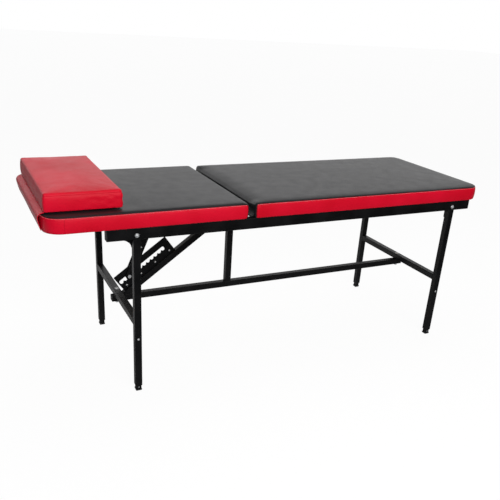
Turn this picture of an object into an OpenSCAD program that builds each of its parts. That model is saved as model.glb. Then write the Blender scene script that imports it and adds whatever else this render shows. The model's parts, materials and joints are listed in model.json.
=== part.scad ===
// Two-section treatment table: a fixed seat, a raising backrest held by a toothed comb and strut,
// a loose head pillow with a hanging flap, and four legs with clamped extensions.
// +X runs to the foot end, +Y across the table, +Z up. The origin is on the floor under the middle.

/* [Cushions] */
// Length of the two cushions together, gap included
couch_l = 1800; // [1760:10:1840]
// Width of the cushions
couch_w = 600; // [580:10:640]
// Height of the cushion edge above the floor
couch_h = 690; // [680:5:720]
// Thickness of a cushion at its edge, board included
cushion_t = 58; // [54:1:70]
// Length of the backrest cushion
back_l = 705; // [700:5:712]
// Gap between the backrest and the seat
section_gap = 21; // [21:1:24]
// Plan radius of the corners at the head and foot ends
corner_r = 62; // [40:2:80]
// Plan radius of the corners at the gap
gap_corner_r = 14; // [10:1:18]
// Rounding where the side meets the top
edge_r = 6; // [5:0.5:7]
// Rounding of the top edge that faces the gap
roll_r = 18; // [17:0.5:20]
// How far the sides draw in at their top and bottom
side_draw = 3; // [2:0.5:3.5]
// Rise of the crown over the cushion's edge
crown_h = 2.4; // [1:0.1:2.4]
// Width over which the crown rises
crown_reach = 190; // [150:5:200]
// Thickness of the plywood boards
board_t = 12; // [10:1:15]
// Thickness of the vinyl
vinyl_t = 1.4; // [1:0.1:2]
// Clearance between a board and the vinyl around it
board_fit = 0.8; // [0.7:0.1:0.9]
// Height of the backrest board over the rails
rest_gap = 0.4; // [0.3:0.1:0.6]

/* [Pillow] */
// Pillow size along the table
pillow_l = 252; // [240:2:270]
// Distance from the side of the cushion to the pillow
pillow_inset = 37; // [30:1:60]
// Pillow thickness
pillow_t = 60; // [50:1:70]
// Plan radius of the pillow's corners
pillow_corner_r = 10; // [8:1:20]
// Rounding of the pillow's edges
pillow_edge_r = 9; // [8:0.5:12]
// How far the pillow's sides draw in at their top and bottom
pillow_draw = 2.1; // [1.5:0.1:2.5]
// Rise of the pillow's crown
pillow_crown_h = 1.9; // [1:0.1:3]
// Width over which the pillow's crown rises
pillow_crown_reach = 63; // [50:1:70]
// Distance from the head end of the cushion to the pillow
pillow_back = 8; // [6:1:12]
// Distance from the side of the pillow to the flap
flap_inset = 10; // [8:1:33]
// Thickness of the doubled vinyl of the flap
flap_t = 2.4; // [2:0.1:3]
// How far the flap stands off the head end at its fullest
flap_bulge = 8; // [6:0.5:9]
// Distance from the floor side of the cushion to the flap's hem
flap_rise = 3; // [2:1:12]
// Radius of the flap's turn over the cushion's edge
flap_turn_r = 18; // [16:1:20]
// Air between the flap and the cushion
flap_air = 0.5; // [0.4:0.1:0.8]

/* [Frame] */
// Height of the side rails
rail_h = 40; // [38:1:44]
// Thickness of the side rails, the same as a leg
rail_t = 25; // [25:1:28]
// Wall of the rails, cross tubes and legs
tube_wall = 2; // [1.8:0.1:2.2]
// Rounding of the long edges of all square tubes
tube_r = 2; // [1.2:0.1:2.4]
// Distance from the cushion's side to the rail
rail_inset = 6; // [6:1:10]
// Distance from the head end of the cushion to the rail
rail_head_inset = 198; // [190:2:206]
// Distance from the foot end of the cushion to the rail
rail_foot_inset = 56; // [50:2:60]
// Width of the legs and of all lighter square tubes
tube_w = 25; // [25:1:27]
// Distance from the head end to the middle of the head legs
head_leg_inset = 296; // [290:2:300]
// Distance from the foot end to the middle of the foot legs
foot_leg_inset = 141; // [136:1:146]
// Height of the underside of the crossbars
crossbar_z = 266.5; // [255:0.5:280]
// Length of the stretcher past the middle of a crossbar
stretcher_over = 18; // [16:1:22]
// Distance from the end of the seat at the gap to the middle of the centre post
post_in = 40; // [38:0.5:44]
// Gap between a head lug plate and the head cross tube
head_tube_gap = 2.5; // [1.5:0.5:4]
// Distance from the middle of the foot legs on to the foot cross tube
foot_tube_over = 36; // [32:1:44]
// Thickness of the plastic end plugs
plug_t = 4; // [3:0.5:5]
// Rounding of the end plugs
plug_r = 5; // [4:0.5:6]
// Length of a plug's spigot
plug_spigot = 18; // [12:1:20]
// Clearance around a plug's spigot
plug_fit = 0.1; // [0.05:0.05:0.2]

/* [Leg joints] */
// Thickness of the lug plates
lug_t = 4; // [3:0.5:5]
// Half length of a head lug plate along the table
head_lug_half = 55; // [48:1:58]
// Half length of a foot lug plate along the table
foot_lug_half = 12.5; // [12:0.5:12.5]
// Depth of a lug plate below the rail at the leg
lug_drop = 36; // [32:1:40]
// Depth of a lug plate below the rail at its ends
lug_wing_drop = 6; // [4:1:10]
// Gap from the top of a lug plate to the top of the rail
lug_top_gap = 4; // [3:1:5]
// Height of the leg bolt above the bottom of the rail
bolt_rise = 14; // [13:1:16]
// Shank diameter of the large bolts
bolt_d = 8; // [8:1:8]
// Head diameter of the large bolts
bolt_head_d = 16; // [15:1:17]
// Head height of the large bolts
bolt_head_h = 4.6; // [4:0.2:5]
// Clearance around a bolt in its hole
bolt_fit = 0.2; // [0.1:0.1:0.4]
// Size of the large nuts across the flats
nut_af = 13; // [13:1:13]
// Height of the large nuts
nut_h = 6.5; // [6:0.5:8]
// Thread left showing past a nut
thread_over = 2; // [1:0.5:3]

/* [Leg extensions] */
// Width of the extension tube
ext_w = 20; // [19.5:0.1:20.2]
// Wall of the extension tube
ext_wall = 1.5; // [1.2:0.1:1.8]
// Height of the bottom of the outer leg
leg_clear = 23; // [20:1:30]
// Height of the top of the extension tube
ext_top = 345; // [340:5:380]
// Height of the foot below the extension tube
foot_h = 8; // [7:0.5:9]
// Width of the foot
foot_w = 22; // [21:0.5:23]
// Rounding of the foot's bottom edge
foot_r = 3; // [2:0.5:3.5]
// Length of the foot's spigot
foot_spigot = 24; // [18:1:28]
// Height of the foot's screw
foot_screw_z = 15; // [14:0.5:17]
// Head diameter of the foot's screw
foot_screw_head_d = 4; // [3.5:0.1:4.2]
// Head height of the foot's screw
foot_screw_head_h = 0.4; // [0.3:0.1:0.4]
// Shank diameter of the foot's screw
foot_screw_d = 2.4; // [2:0.1:2.6]
// Length of the foot's screw
foot_screw_l = 9; // [8:1:10]
// Height of the clamp screw
clamp_z = 216; // [210:2:220]
// Shank diameter of the clamp screw
clamp_d = 5; // [4:0.5:5]
// Head diameter of the clamp screw
clamp_head_d = 9; // [8:0.5:10]
// Head height of the clamp screw
clamp_head_h = 3; // [2.5:0.1:3.5]
// Distance from the clamp screw's tip to the extension tube
clamp_tip_gap = 0.1; // [0.05:0.05:0.2]

/* [Hinges] */
// Gap between a hinge pin's head and the side rail
hinge_rail_gap = 38.5; // [20:0.5:60]
// Length of a hinge along its pin
hinge_l = 78; // [70:2:84]
// Distance from the end of the backrest to the hinge pin
hinge_out = 6; // [6:0.5:6.5]
// Diameter of a hinge knuckle
knuckle_d = 10; // [9.5:0.1:10]
// Diameter of a hinge pin
hinge_pin_d = 5; // [4.5:0.1:5.5]
// Head diameter of a hinge pin
hinge_pin_head_d = 7; // [6.5:0.1:8]
// Head height of a hinge pin
hinge_pin_head_h = 1.5; // [1:0.1:2]
// Overlap of a knuckle with its leaf
knuckle_sink = 1; // [0.8:0.1:1.2]
// Thickness of a hinge leaf
leaf_t = 2.5; // [2:0.1:3]
// Reach of the leaf under the backrest
back_leaf_l = 52; // [44:1:60]
// Gap between the leaf under the seat and the cross tube
leaf_tube_gap = 6.5; // [5.5:0.5:8.5]
// Radial clearance of a turning pin
pin_fit = 0.05; // [0.03:0.01:0.08]
// Side clearance between turning pieces
side_fit = 0.5; // [0.3:0.1:0.8]
// Shank diameter of the wood screws
screw_d = 4; // [3.5:0.5:4.5]
// Head diameter of the wood screws
screw_head_d = 7.6; // [7:0.2:8]
// Head height of the wood screws
screw_head_h = 2; // [1.5:0.1:2.2]
// Depth of a wood screw in a board
screw_bite = 8; // [6:0.5:9]
// Distance from the end of the seat at the gap to its leaf screws
seat_screw_in = 8; // [7:0.5:10]
// Distance from the end of the backrest at the gap to its leaf screws
back_screw_in = 27; // [22:1:32]
// Share of a hinge's half length from its middle to its screws
hinge_screw_share = 0.66; // [0.6:0.01:0.75]

/* [Brace and comb] */
// Height of the brace's underside at the centre post over the stretcher
brace_rise = 293.2; // [290:0.2:296]
// Distance from the head leg to the brace's lower corner on the stretcher
brace_foot = 54; // [53:0.5:55]
// Thickness of the comb plate
comb_t = 4; // [4:0.5:5]
// Height of the comb plate
comb_h = 69; // [67:1:71]
// Length of the comb plate
comb_l = 255; // [252:1:258]
// Distance of the comb plate's lower end before the brace's corner
comb_start = 12; // [11:0.5:13]
// Rounding of the comb plate's corners
comb_corner_r = 3; // [2:0.5:5]
// Number of notches
notch_count = 12; // [11:1:12]
// Spacing of the notches
notch_pitch = 18.7; // [18.5:0.1:18.8]
// Radius of a notch
notch_r = 7; // [6.8:0.1:7.2]
// Distance from the plate's lower edge to the tips of the teeth
tip_h = 32.2; // [31.8:0.1:32.3]
// How far a notch's seat reaches behind the sides of its opening
notch_lip = 0.2; // [0.1:0.05:0.3]
// Depth of a notch below the tips
notch_depth = 6; // [5.5:0.1:6.5]
// Height of the window over the tips of the teeth
channel_h = 11.6; // [11.6:0.1:12.4]
// Distance from the top notch to the plate's upper end
top_notch_in = 36; // [35:0.5:37]
// Height of the tab that carries the comb plate
tab_h = 20; // [18:1:21]
// Thickness of the tab
tab_t = 3; // [3:0.5:4]
// Number of comb bolts
comb_bolt_count = 4; // [3:1:4]
// Spacing of the comb bolts
comb_bolt_pitch = 71; // [70:1:71]
// Distance from the plate's lower end to the first comb bolt
comb_bolt_start = 22; // [20:1:22]
// Height of the comb bolts over the brace
comb_bolt_h = 11.3; // [10.5:0.1:12]
// Shank diameter of the comb bolts
comb_bolt_d = 5; // [4:1:5]
// Head diameter of the comb bolts
comb_head_d = 8.5; // [8:0.5:9]
// Head height of the comb bolts
comb_head_h = 2.8; // [2.2:0.1:3]
// Size of the comb nuts across the flats
comb_nut_af = 8; // [8:1:8]
// Height of the comb nuts
comb_nut_h = 4; // [3.2:0.1:4.5]

/* [Strut] */
// Distance from the hinge pin to the strut's pivot along the backrest
pivot_in = 256; // [255.5:0.1:256.5]
// Distance from the hinge pin down to the strut's pivot
pivot_drop = 34; // [33.8:0.1:34.2]
// Distance along the brace from its lower corner to the catch pin
catch_along = 39.3; // [39.1:0.1:39.5]
// Distance of the catch pin's middle above the brace
catch_over = 37.8; // [37.7:0.05:37.9]
// Width of a strut bar
bar_w = 28; // [24:1:30]
// Thickness of a strut bar
bar_t = 4; // [3:0.5:4]
// Half of the space between the two bars
bar_half_gap = 8; // [8:0.1:8.5]
// Diameter of the catch pin
catch_d = 10; // [9:0.1:10]
// Head diameter of the catch pin
catch_head_d = 14; // [12:0.5:15]
// Head height of the catch pin
catch_head_h = 2; // [1.5:0.1:2.5]
// Diameter of the strut's pivot pin
pivot_d = 8; // [7:0.5:9]
// Head diameter of the pivot pin
pivot_head_d = 13; // [12:0.5:14]
// Head height of the pivot pin
pivot_head_h = 3; // [2:0.1:4]
// Distance from the catch pin to the spacer
spacer_along = 125; // [115:5:140]
// Diameter of the spacer
spacer_d = 14; // [12:1:16]
// Diameter of the rivet through the spacer
rivet_d = 6; // [5:0.5:7]
// Thickness of the bracket
bracket_t = 3; // [2.5:0.5:3.5]
// Length of the bracket's base along the table
bracket_l = 84; // [76:2:90]
// Width of the bracket's base
bracket_w = 70; // [60:2:80]
// Radius of the bracket's ears around the pivot
ear_r = 12; // [11:0.5:13]
// Share of the bracket's half length from its middle to its screws
bracket_screw_share = 0.74; // [0.7:0.01:0.8]
// Share of the bracket's half width from its middle to its screws
bracket_row_share = 0.74; // [0.72:0.01:0.78]

/* [Hidden] */
$fn = 48;

black_paint = [0.07, 0.07, 0.08];
zinc = [0.78, 0.79, 0.8];
black_plastic = [0.04, 0.04, 0.045];
black_vinyl = [0.1, 0.1, 0.11];
red_vinyl = [0.72, 0.03, 0.08];
foam_cream = [0.9, 0.86, 0.72];
plywood = [0.76, 0.6, 0.4];

// Positions along the table. The flap stands out at the head end, and the origin is in the middle.
flap_out = flap_bulge + flap_t;
head_x = -(couch_l - flap_out) / 2;
foot_x = head_x + couch_l;
back_end_x = head_x + back_l;
seat_end_x = back_end_x + section_gap;
hinge_x = back_end_x + hinge_out;
head_leg_x = head_x + head_leg_inset;
foot_leg_x = foot_x - foot_leg_inset;
rail_x0 = head_x + rail_head_inset;
rail_x1 = foot_x - rail_foot_inset;
post_x = seat_end_x + post_in;
head_tube_x = head_leg_x - head_lug_half - head_tube_gap - tube_w / 2;
seat_tube_x = (post_x + foot_leg_x) / 2;
foot_tube_x = foot_leg_x + foot_tube_over;

// Heights
base_z = couch_h - cushion_t;
rail_z = base_z - rail_h;
cross_z = base_z - tube_w;
crossbar_top = crossbar_z + tube_w;
stretcher_z = crossbar_z - tube_w;
hinge_z = base_z + knuckle_d / 2 - knuckle_sink;
bolt_z = rail_z + bolt_rise;

// Positions across the table
rail_outer = couch_w / 2 - rail_inset;
rail_inner = rail_outer - rail_t;
leg_y = rail_outer - tube_w / 2;
leg_inner = rail_outer - tube_w;

// Cushion profile: the drawn-in side, the rounded edge and the crown
band_h = cushion_t - edge_r;
roll_z = cushion_t - roll_r;
side_rows = [for (k = [0:4]) [side_draw * pow(2 * k / 4 - 1, 2), band_h * k / 4]];
edge_rows = [for (k = [1:3]) [side_draw + edge_r * (1 - cos(30 * k)), band_h + edge_r * sin(30 * k)]];
crown_rows = [for (k = [1:3]) [side_draw + edge_r + crown_reach * k / 3, cushion_t + crown_h * sin(30 * k)]];
top_rows = concat([side_rows[4]], edge_rows, crown_rows);

// Brace and comb frame: x along the brace from its lower corner, z square to it
brace_x = head_leg_x + brace_foot;
brace_angle = atan(brace_rise / (post_x - tube_w / 2 - brace_x));
top_notch_x = comb_l - comb_start - top_notch_in;
tip_z = tube_w + tip_h;
notch_z = tip_z - notch_depth + notch_r;
window_top = tip_z + channel_h;
catch_z = tube_w + catch_over;

// Strut, from the pivot to the catch pin
pivot_x = hinge_x - pivot_in;
pivot_z = hinge_z - pivot_drop;
catch_world_x = brace_x + catch_along * cos(brace_angle) - catch_z * sin(brace_angle);
catch_world_z = crossbar_z + catch_along * sin(brace_angle) + catch_z * cos(brace_angle);
strut_dx = pivot_x - catch_world_x;
strut_dz = pivot_z - catch_world_z;
strut_l = sqrt(strut_dx * strut_dx + strut_dz * strut_dz);
strut_angle = atan2(strut_dz, strut_dx);
bar_outer = bar_half_gap + bar_t;
ear_inner = bar_outer + side_fit;
ear_outer = ear_inner + bracket_t;

// Hinge and bolt
hinge_y = rail_inner - hinge_rail_gap - hinge_pin_head_h - hinge_l / 2;
seat_leaf_l = post_x - tube_w / 2 - leaf_tube_gap - hinge_x;
seat_screw_x = seat_end_x + seat_screw_in;
back_screw_x = back_end_x - back_screw_in;
third = hinge_l / 3;
leaf_top = base_z - hinge_z;
leg_bolt_l = rail_t + lug_t + nut_h + thread_over;

// Pillow
pillow_x0 = head_x + pillow_back;
pillow_x1 = pillow_x0 + pillow_l;
pillow_w = couch_w - 2 * pillow_inset;
flap_w = pillow_w - 2 * flap_inset;
flap_z = couch_h + crown_h + flap_air;
pillow_z = flap_z + flap_t;

// Helpers

// Cylinder along Y from y0 to y1
module rod_y(d, y0, y1) {
  translate([0, y0, 0]) rotate([-90, 0, 0]) cylinder(d = d, h = y1 - y0);
}

// Hexagonal nut blank along Z
module hex_nut(af, h, hole_d) {
  difference() {
    cylinder(d = af / cos(30), h = h, $fn = 6);
    translate([0, 0, -h]) cylinder(d = hole_d, h = 3 * h);
  }
}

// Outer outline of a square or rectangular tube, centred on and standing over the X axis
module tube_outline(w, h) {
  difference() {
    translate([-w / 2, 0]) square([w, h]);
    for (s = [-1, 1]) {
      corner_cut(s * w / 2, 0, tube_r, -s, 1);
      corner_cut(s * w / 2, h, tube_r, -s, -1);
    }
  }
}

// Square or rectangular tube, open at both ends, along X
module tube_x(l, w, h, wall) {
  difference() {
    rotate([90, 0, 90]) linear_extrude(l) tube_outline(w, h);
    translate([-l, -w / 2 + wall, wall]) cube([3 * l, w - 2 * wall, h - 2 * wall]);
  }
}

// The same tube along Y, centred on the Y axis
module tube_y(l, w, h, wall) {
  translate([0, -l / 2, 0]) rotate([0, 0, 90]) tube_x(l, w, h, wall);
}

// Upright square tube, centred on the Z axis
module tube_z(l, w, wall) {
  difference() {
    translate([0, -w / 2, 0]) linear_extrude(l) tube_outline(w, w);
    translate([-w / 2 + wall, -w / 2 + wall, -l]) cube([w - 2 * wall, w - 2 * wall, 3 * l]);
  }
}

// Frame of the brace and comb
module on_brace() {
  translate([brace_x, 0, crossbar_z]) rotate([0, -brace_angle, 0]) children();
}

// Outline with rounded corners of radius r0 at x0 and r1 at x1, half width b, at height z
function ring(x0, x1, b, r0, r1, z) =
  let (n = 6)
  concat(
    [for (k = [0:n]) [x1 - r1 + r1 * sin(90 * k / n), -b + r1 - r1 * cos(90 * k / n), z]],
    [for (k = [0:n]) [x1 - r1 + r1 * cos(90 * k / n), b - r1 + r1 * sin(90 * k / n), z]],
    [for (k = [0:n]) [x0 + r0 - r0 * sin(90 * k / n), b - r0 + r0 * cos(90 * k / n), z]],
    [for (k = [0:n]) [x0 + r0 - r0 * cos(90 * k / n), -b + r0 - r0 * sin(90 * k / n), z]]
  );

// Extra draw of the end that faces the gap
function roll(z, inset) =
  let (rise = min(max(z - roll_z, 0), roll_r))
  max(inset, roll_r - sqrt(roll_r * roll_r - rise * rise));

// Closed solid through a chain of outlines, capped at both ends
module skin(rings) {
  n = len(rings[0]);
  m = len(rings);
  polyhedron(
    points = [for (r = rings) each r],
    faces = concat(
      [[for (i = [0:n - 1]) n - 1 - i]],
      [for (j = [0:m - 2]) for (i = [0:n - 1]) [j * n + i, j * n + (i + 1) % n, (j + 1) * n + (i + 1) % n]],
      [for (j = [0:m - 2]) for (i = [0:n - 1]) [j * n + i, (j + 1) * n + (i + 1) % n, (j + 1) * n + i]],
      [[for (i = [0:n - 1]) (m - 1) * n + i]]
    )
  );
}

// Closed ring through a chain of outlines, the last joined to the first
module loop_skin(rings) {
  n = len(rings[0]);
  m = len(rings);
  polyhedron(
    points = [for (r = rings) each r],
    faces = concat(
      [for (j = [0:m - 1]) for (i = [0:n - 1])
        [j * n + i, j * n + (i + 1) % n, ((j + 1) % m) * n + (i + 1) % n]],
      [for (j = [0:m - 1]) for (i = [0:n - 1])
        [j * n + i, ((j + 1) % m) * n + (i + 1) % n, ((j + 1) % m) * n + i]]
    )
  );
}

// Draw of the end that faces the gap at height z, along the facets of the band up to its top
function gap_draw(z, inset) =
  z < band_h ? lookup(z, [for (row = side_rows) [row[1], roll(row[1], row[0])]]) : roll(z, inset);

// Outline of a cushion at one profile row, inset by skin_t; side is the end that faces the gap
function cushion_ring(x0, x1, side, row, skin_t, drop) =
  let (
    s = row[0] + skin_t,
    g = gap_draw(row[1], row[0]) + skin_t,
    far_r = max(corner_r - s, edge_r),
    gap_r = max(gap_corner_r - g, edge_r / 2),
    z = base_z + max(row[1], side > 0 ? rest_gap : 0) - drop
  )
  side > 0
    ? ring(x0 + s, x1 - g, couch_w / 2 - s, far_r, gap_r, z)
    : ring(x0 + g, x1 - s, couch_w / 2 - s, gap_r, far_r, z);

// Plywood board of a cushion, flat, with rounded corners
module board(x0, x1, side, lift) {
  s = side_draw + vinyl_t + board_fit;
  far_r = corner_r - s;
  skin_r = gap_corner_r - s;
  r0 = side > 0 ? far_r : skin_r;
  r1 = side > 0 ? skin_r : far_r;
  b = couch_w / 2 - s;
  translate([0, 0, base_z + lift])
    linear_extrude(board_t - lift)
      difference() {
        translate([x0 + s, -b]) square([x1 - x0 - 2 * s, 2 * b]);
        for (y = [-1, 1]) {
          corner_cut(x0 + s, y * b, r0, 1, -y);
          corner_cut(x1 - s, y * b, r1, -1, -y);
        }
      }
}

// Waste outside a rounded corner at x, y; the board lies towards dx, dy
module corner_cut(x, y, r, dx, dy) {
  translate([x, y])
    difference() {
      translate([-r, -r]) square(2 * r);
      translate([dx > 0 ? r : -3 * r, -2 * r]) square([2 * r, 4 * r]);
      translate([-2 * r, dy > 0 ? r : -3 * r]) square([4 * r, 2 * r]);
      translate([dx * r, dy * r]) circle(r);
    }
}

// Draw of a cushion's side at height z, along the facets of its band
function side_at(z) = lookup(z, [for (row = side_rows) [row[1], row[0]]]);

// Foam block of a cushion, over its board
module foam(x0, x1, side) {
  z0 = board_t + plug_fit;
  rows = concat(
    [for (k = [0:3]) let (z = z0 + (band_h - z0) * k / 4) [side_at(z), z]],
    top_rows
  );
  inset = vinyl_t + plug_fit;
  skin([for (j = [0:len(rows) - 1])
    cushion_ring(x0, x1, side, rows[j], inset, j < 4 ? 0 : inset)]);
}

// Vinyl panel over the top of a cushion
module top_cover(x0, x1, side) {
  n = len(top_rows);
  skin(concat(
    [for (j = [0:n - 1]) cushion_ring(x0, x1, side, top_rows[n - 1 - j], vinyl_t, j == n - 1 ? 0 : vinyl_t)],
    [for (j = [0:n - 1]) cushion_ring(x0, x1, side, top_rows[j], 0, 0)]
  ));
}

// Vinyl band around the side of a cushion
module side_band(x0, x1, side) {
  n = len(side_rows);
  loop_skin(concat(
    [for (j = [0:n - 1]) cushion_ring(x0, x1, side, side_rows[j], 0, 0)],
    [for (j = [0:n - 1]) cushion_ring(x0, x1, side, side_rows[n - 1 - j], vinyl_t, 0)]
  ));
}

// Frame

module side_rail(y) {
  color(black_paint)
    difference() {
      translate([rail_x0, y * (rail_outer - rail_t / 2), rail_z])
        tube_x(rail_x1 - rail_x0, rail_t, rail_h, tube_wall);
      for (x = [head_leg_x, foot_leg_x])
        translate([x, 0, bolt_z])
          rod_y(bolt_d + 2 * bolt_fit, y > 0 ? rail_inner - rail_t : -2 * rail_outer,
                y > 0 ? 2 * rail_outer : -rail_inner + rail_t);
    }
}

module side_rail_right() {
  side_rail(-1);
}

module side_rail_left() {
  side_rail(1);
}

// Plug for an open tube end at the origin, standing out along +X
module end_plug(w, h) {
  inner_w = w - 2 * tube_wall - 2 * plug_fit;
  inner_h = h - 2 * tube_wall - 2 * plug_fit;
  translate([0, -w / 2, 0])
    difference() {
      translate([0, w / 2, 0]) rotate([90, 0, 90]) linear_extrude(plug_t) tube_outline(w, h);
      for (z = [0, h])
        translate([plug_t, 0, z])
          rotate([-90, 0, 0])
            translate([0, 0, -w / 2])
              difference() {
                translate([-plug_r / 2, -plug_r / 2, 0]) cube([plug_r, plug_r, 2 * w]);
                translate([-plug_r / 2, z > 0 ? plug_r / 2 : -plug_r / 2, -w])
                  cylinder(d = plug_r, h = 4 * w);
              }
    }
  translate([-plug_spigot, -inner_w / 2, tube_wall + plug_fit]) cube([plug_spigot, inner_w, inner_h]);
}

module rail_end_caps() {
  color(black_plastic)
    for (y = [-1, 1]) {
      translate([rail_x1, y * (rail_outer - rail_t / 2), rail_z]) end_plug(rail_t, rail_h);
      translate([rail_x0, y * (rail_outer - rail_t / 2), rail_z])
        rotate([0, 0, 180]) end_plug(rail_t, rail_h);
    }
}

// Cross tube between the rails, bored for the seat screws if it carries the seat
module cross_tube(x, bored) {
  translate([x, 0, cross_z])
    difference() {
      tube_y(2 * rail_inner, tube_w, tube_w, tube_wall);
      if (bored)
        for (y = [-1, 1])
          translate([0, y * hinge_y / 2, -tube_w]) cylinder(d = screw_d + 2 * bolt_fit, h = 3 * tube_w);
    }
}

module cross_tubes() {
  color(black_paint) {
    cross_tube(head_tube_x, false);
    cross_tube(seat_tube_x, true);
    cross_tube(foot_tube_x, true);
  }
}

module cross_tube_hinge() {
  color(black_paint) cross_tube(post_x, true);
}

// Leg tube, drilled through its outer wall for the clamp screw
module leg(x, y) {
  color(black_paint)
    translate([x, y * leg_y, leg_clear])
      difference() {
        tube_z(rail_z - leg_clear, tube_w, tube_wall);
        translate([0, 0, clamp_z - leg_clear])
          rod_y(clamp_d, y > 0 ? 0 : -tube_w, y > 0 ? tube_w : 0);
      }
}

module leg_head_right() {
  leg(head_leg_x, -1);
}

module leg_head_left() {
  leg(head_leg_x, 1);
}

module leg_foot_right() {
  leg(foot_leg_x, -1);
}

module leg_foot_left() {
  leg(foot_leg_x, 1);
}

// Crossbar between two legs, drilled upright for the stretcher bolt
module crossbar(x) {
  color(black_paint)
    translate([x, 0, crossbar_z])
      difference() {
        tube_y(2 * leg_inner, tube_w, tube_w, tube_wall);
        translate([0, 0, -tube_w]) cylinder(d = bolt_d + 2 * bolt_fit, h = 3 * tube_w);
      }
}

module crossbar_head() {
  crossbar(head_leg_x);
}

module crossbar_foot() {
  crossbar(foot_leg_x);
}

// Outline of a lug plate in x and z, from the bottom of the rail; wide plates curve in to the leg
module lug_outline(half) {
  wing = half - tube_w / 2;
  top = rail_h - lug_top_gap;
  polygon(concat(
    [[-half, top], [-half, -lug_wing_drop]],
    [for (k = [1:5]) [-half + wing * sin(18 * k), -lug_drop + (lug_drop - lug_wing_drop) * cos(18 * k)]],
    [for (k = [1:5])
      [half - wing * cos(18 * (k - 1)), -lug_drop + (lug_drop - lug_wing_drop) * sin(18 * (k - 1))]],
    [[half, -lug_wing_drop], [half, top]]
  ));
}

// Straight lug plate behind a foot leg
module lug_strip(half) {
  translate([-half, -lug_drop]) square([2 * half, rail_h - lug_top_gap + lug_drop]);
}

// Lug plate welded to a leg's inner face and bolted through the rail
module lug(x, y, half, winged) {
  translate([x, y > 0 ? rail_inner : -rail_inner + lug_t, rail_z])
    rotate([90, 0, 0])
      linear_extrude(lug_t)
        difference() {
          if (winged)
            lug_outline(half);
          else
            lug_strip(half);
          translate([0, bolt_rise]) circle(d = bolt_d + 2 * bolt_fit);
        }
}

module leg_lugs() {
  color(black_paint)
    for (y = [-1, 1]) {
      lug(head_leg_x, y, head_lug_half, true);
      lug(foot_leg_x, y, foot_lug_half, false);
    }
}

// Round-headed bolt along +Z with its head below the origin
module bolt(d, l, head_d, head_h) {
  cylinder(d = d, h = l);
  translate([0, 0, -head_h])
    rotate_extrude()
      intersection() {
        square([head_d / 2, head_h]);
        translate([0, head_d * head_d / (8 * head_h) + head_h / 2])
          circle(r = head_d * head_d / (8 * head_h) + head_h / 2, $fn = 96);
      }
}

module leg_bolts() {
  color(zinc)
    for (x = [head_leg_x, foot_leg_x])
      for (y = [-1, 1])
        translate([x, y * rail_outer, bolt_z])
          rotate([y * 90, 0, 0]) bolt(bolt_d, leg_bolt_l, bolt_head_d, bolt_head_h);
}

module large_nuts() {
  color(zinc) {
    for (x = [head_leg_x, foot_leg_x])
      for (y = [-1, 1])
        translate([x, y * (rail_inner - lug_t), bolt_z])
          rotate([y * 90, 0, 0]) hex_nut(nut_af, nut_h, bolt_d);
    for (x = [head_leg_x, foot_leg_x])
      translate([x, 0, stretcher_z - nut_h]) hex_nut(nut_af, nut_h, bolt_d);
  }
}

module stretcher() {
  color(black_paint)
    difference() {
      translate([head_leg_x - stretcher_over, 0, stretcher_z])
        tube_x(foot_leg_x - head_leg_x + 2 * stretcher_over, tube_w, tube_w, tube_wall);
      for (x = [head_leg_x, foot_leg_x])
        translate([x, 0, stretcher_z - tube_w]) cylinder(d = bolt_d + 2 * bolt_fit, h = 3 * tube_w);
    }
}

// The plugs are bored for the bolts that pass just inside the stretcher's ends
module stretcher_plugs() {
  color(black_plastic)
    difference() {
      union() {
        translate([foot_leg_x + stretcher_over, 0, stretcher_z]) end_plug(tube_w, tube_w);
        translate([head_leg_x - stretcher_over, 0, stretcher_z]) rotate([0, 0, 180]) end_plug(tube_w, tube_w);
      }
      for (x = [head_leg_x, foot_leg_x])
        translate([x, 0, stretcher_z - tube_w]) cylinder(d = bolt_d + 2 * bolt_fit, h = 3 * tube_w);
    }
}

module stretcher_bolts() {
  color(zinc)
    for (x = [head_leg_x, foot_leg_x])
      translate([x, 0, crossbar_top])
        rotate([180, 0, 0]) bolt(bolt_d, 2 * tube_w + nut_h + thread_over, bolt_head_d, bolt_head_h);
}

module centre_post() {
  color(black_paint)
    translate([post_x, 0, crossbar_z]) tube_z(cross_z - crossbar_z, tube_w, tube_wall);
}

// Brace tube, cut level on the stretcher and upright at the post
module diagonal_brace() {
  reach = 2 * (post_x - brace_x);
  color(black_paint)
    intersection() {
      on_brace() translate([-reach / 4, 0, 0]) tube_x(reach, tube_w, tube_w, tube_wall);
      translate([head_leg_x + tube_w / 2 + side_fit, -tube_w, crossbar_z])
        cube([post_x - head_leg_x - tube_w - side_fit, 2 * tube_w, cross_z - crossbar_z]);
    }
}

// Comb

module comb_holes(d) {
  for (k = [0:comb_bolt_count - 1])
    translate([comb_bolt_start - comb_start + k * comb_bolt_pitch, 0, tube_w + comb_bolt_h])
      rod_y(d, -tube_w, tube_w);
}

module comb_tab() {
  color(black_paint)
    on_brace()
      difference() {
        translate([-comb_start + side_fit + tube_wall, comb_t / 2, tube_w])
          cube([comb_l - 2 * comb_start, tab_t, tab_h]);
        comb_holes(comb_bolt_d + 2 * bolt_fit);
      }
}

// One notch: a round seat with an opening that runs straight up in the table's frame
module notch() {
  circle(notch_r);
  rotate(-brace_angle)
    translate([notch_lip - notch_r, 0]) square([2 * (notch_r - notch_lip), 2 * notch_depth]);
}

// Window of the comb plate: the channel over the teeth and the notches below it
module comb_window() {
  last_x = top_notch_x - (notch_count - 1) * notch_pitch;
  half = channel_h / 2;
  translate([last_x - notch_r + half, tip_z])
    square([top_notch_x - last_x + 2 * notch_r - 2 * half, channel_h]);
  for (x = [last_x - notch_r + half, top_notch_x + notch_r - half]) translate([x, tip_z + half]) circle(half);
  intersection() {
    translate([last_x - 2 * notch_r, 0])
      square([top_notch_x - last_x + 2 * notch_r + (notch_r + half) / 2, window_top - half]);
    for (k = [0:notch_count - 1])
      translate([top_notch_x - k * notch_pitch, notch_z]) notch();
  }
}

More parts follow.
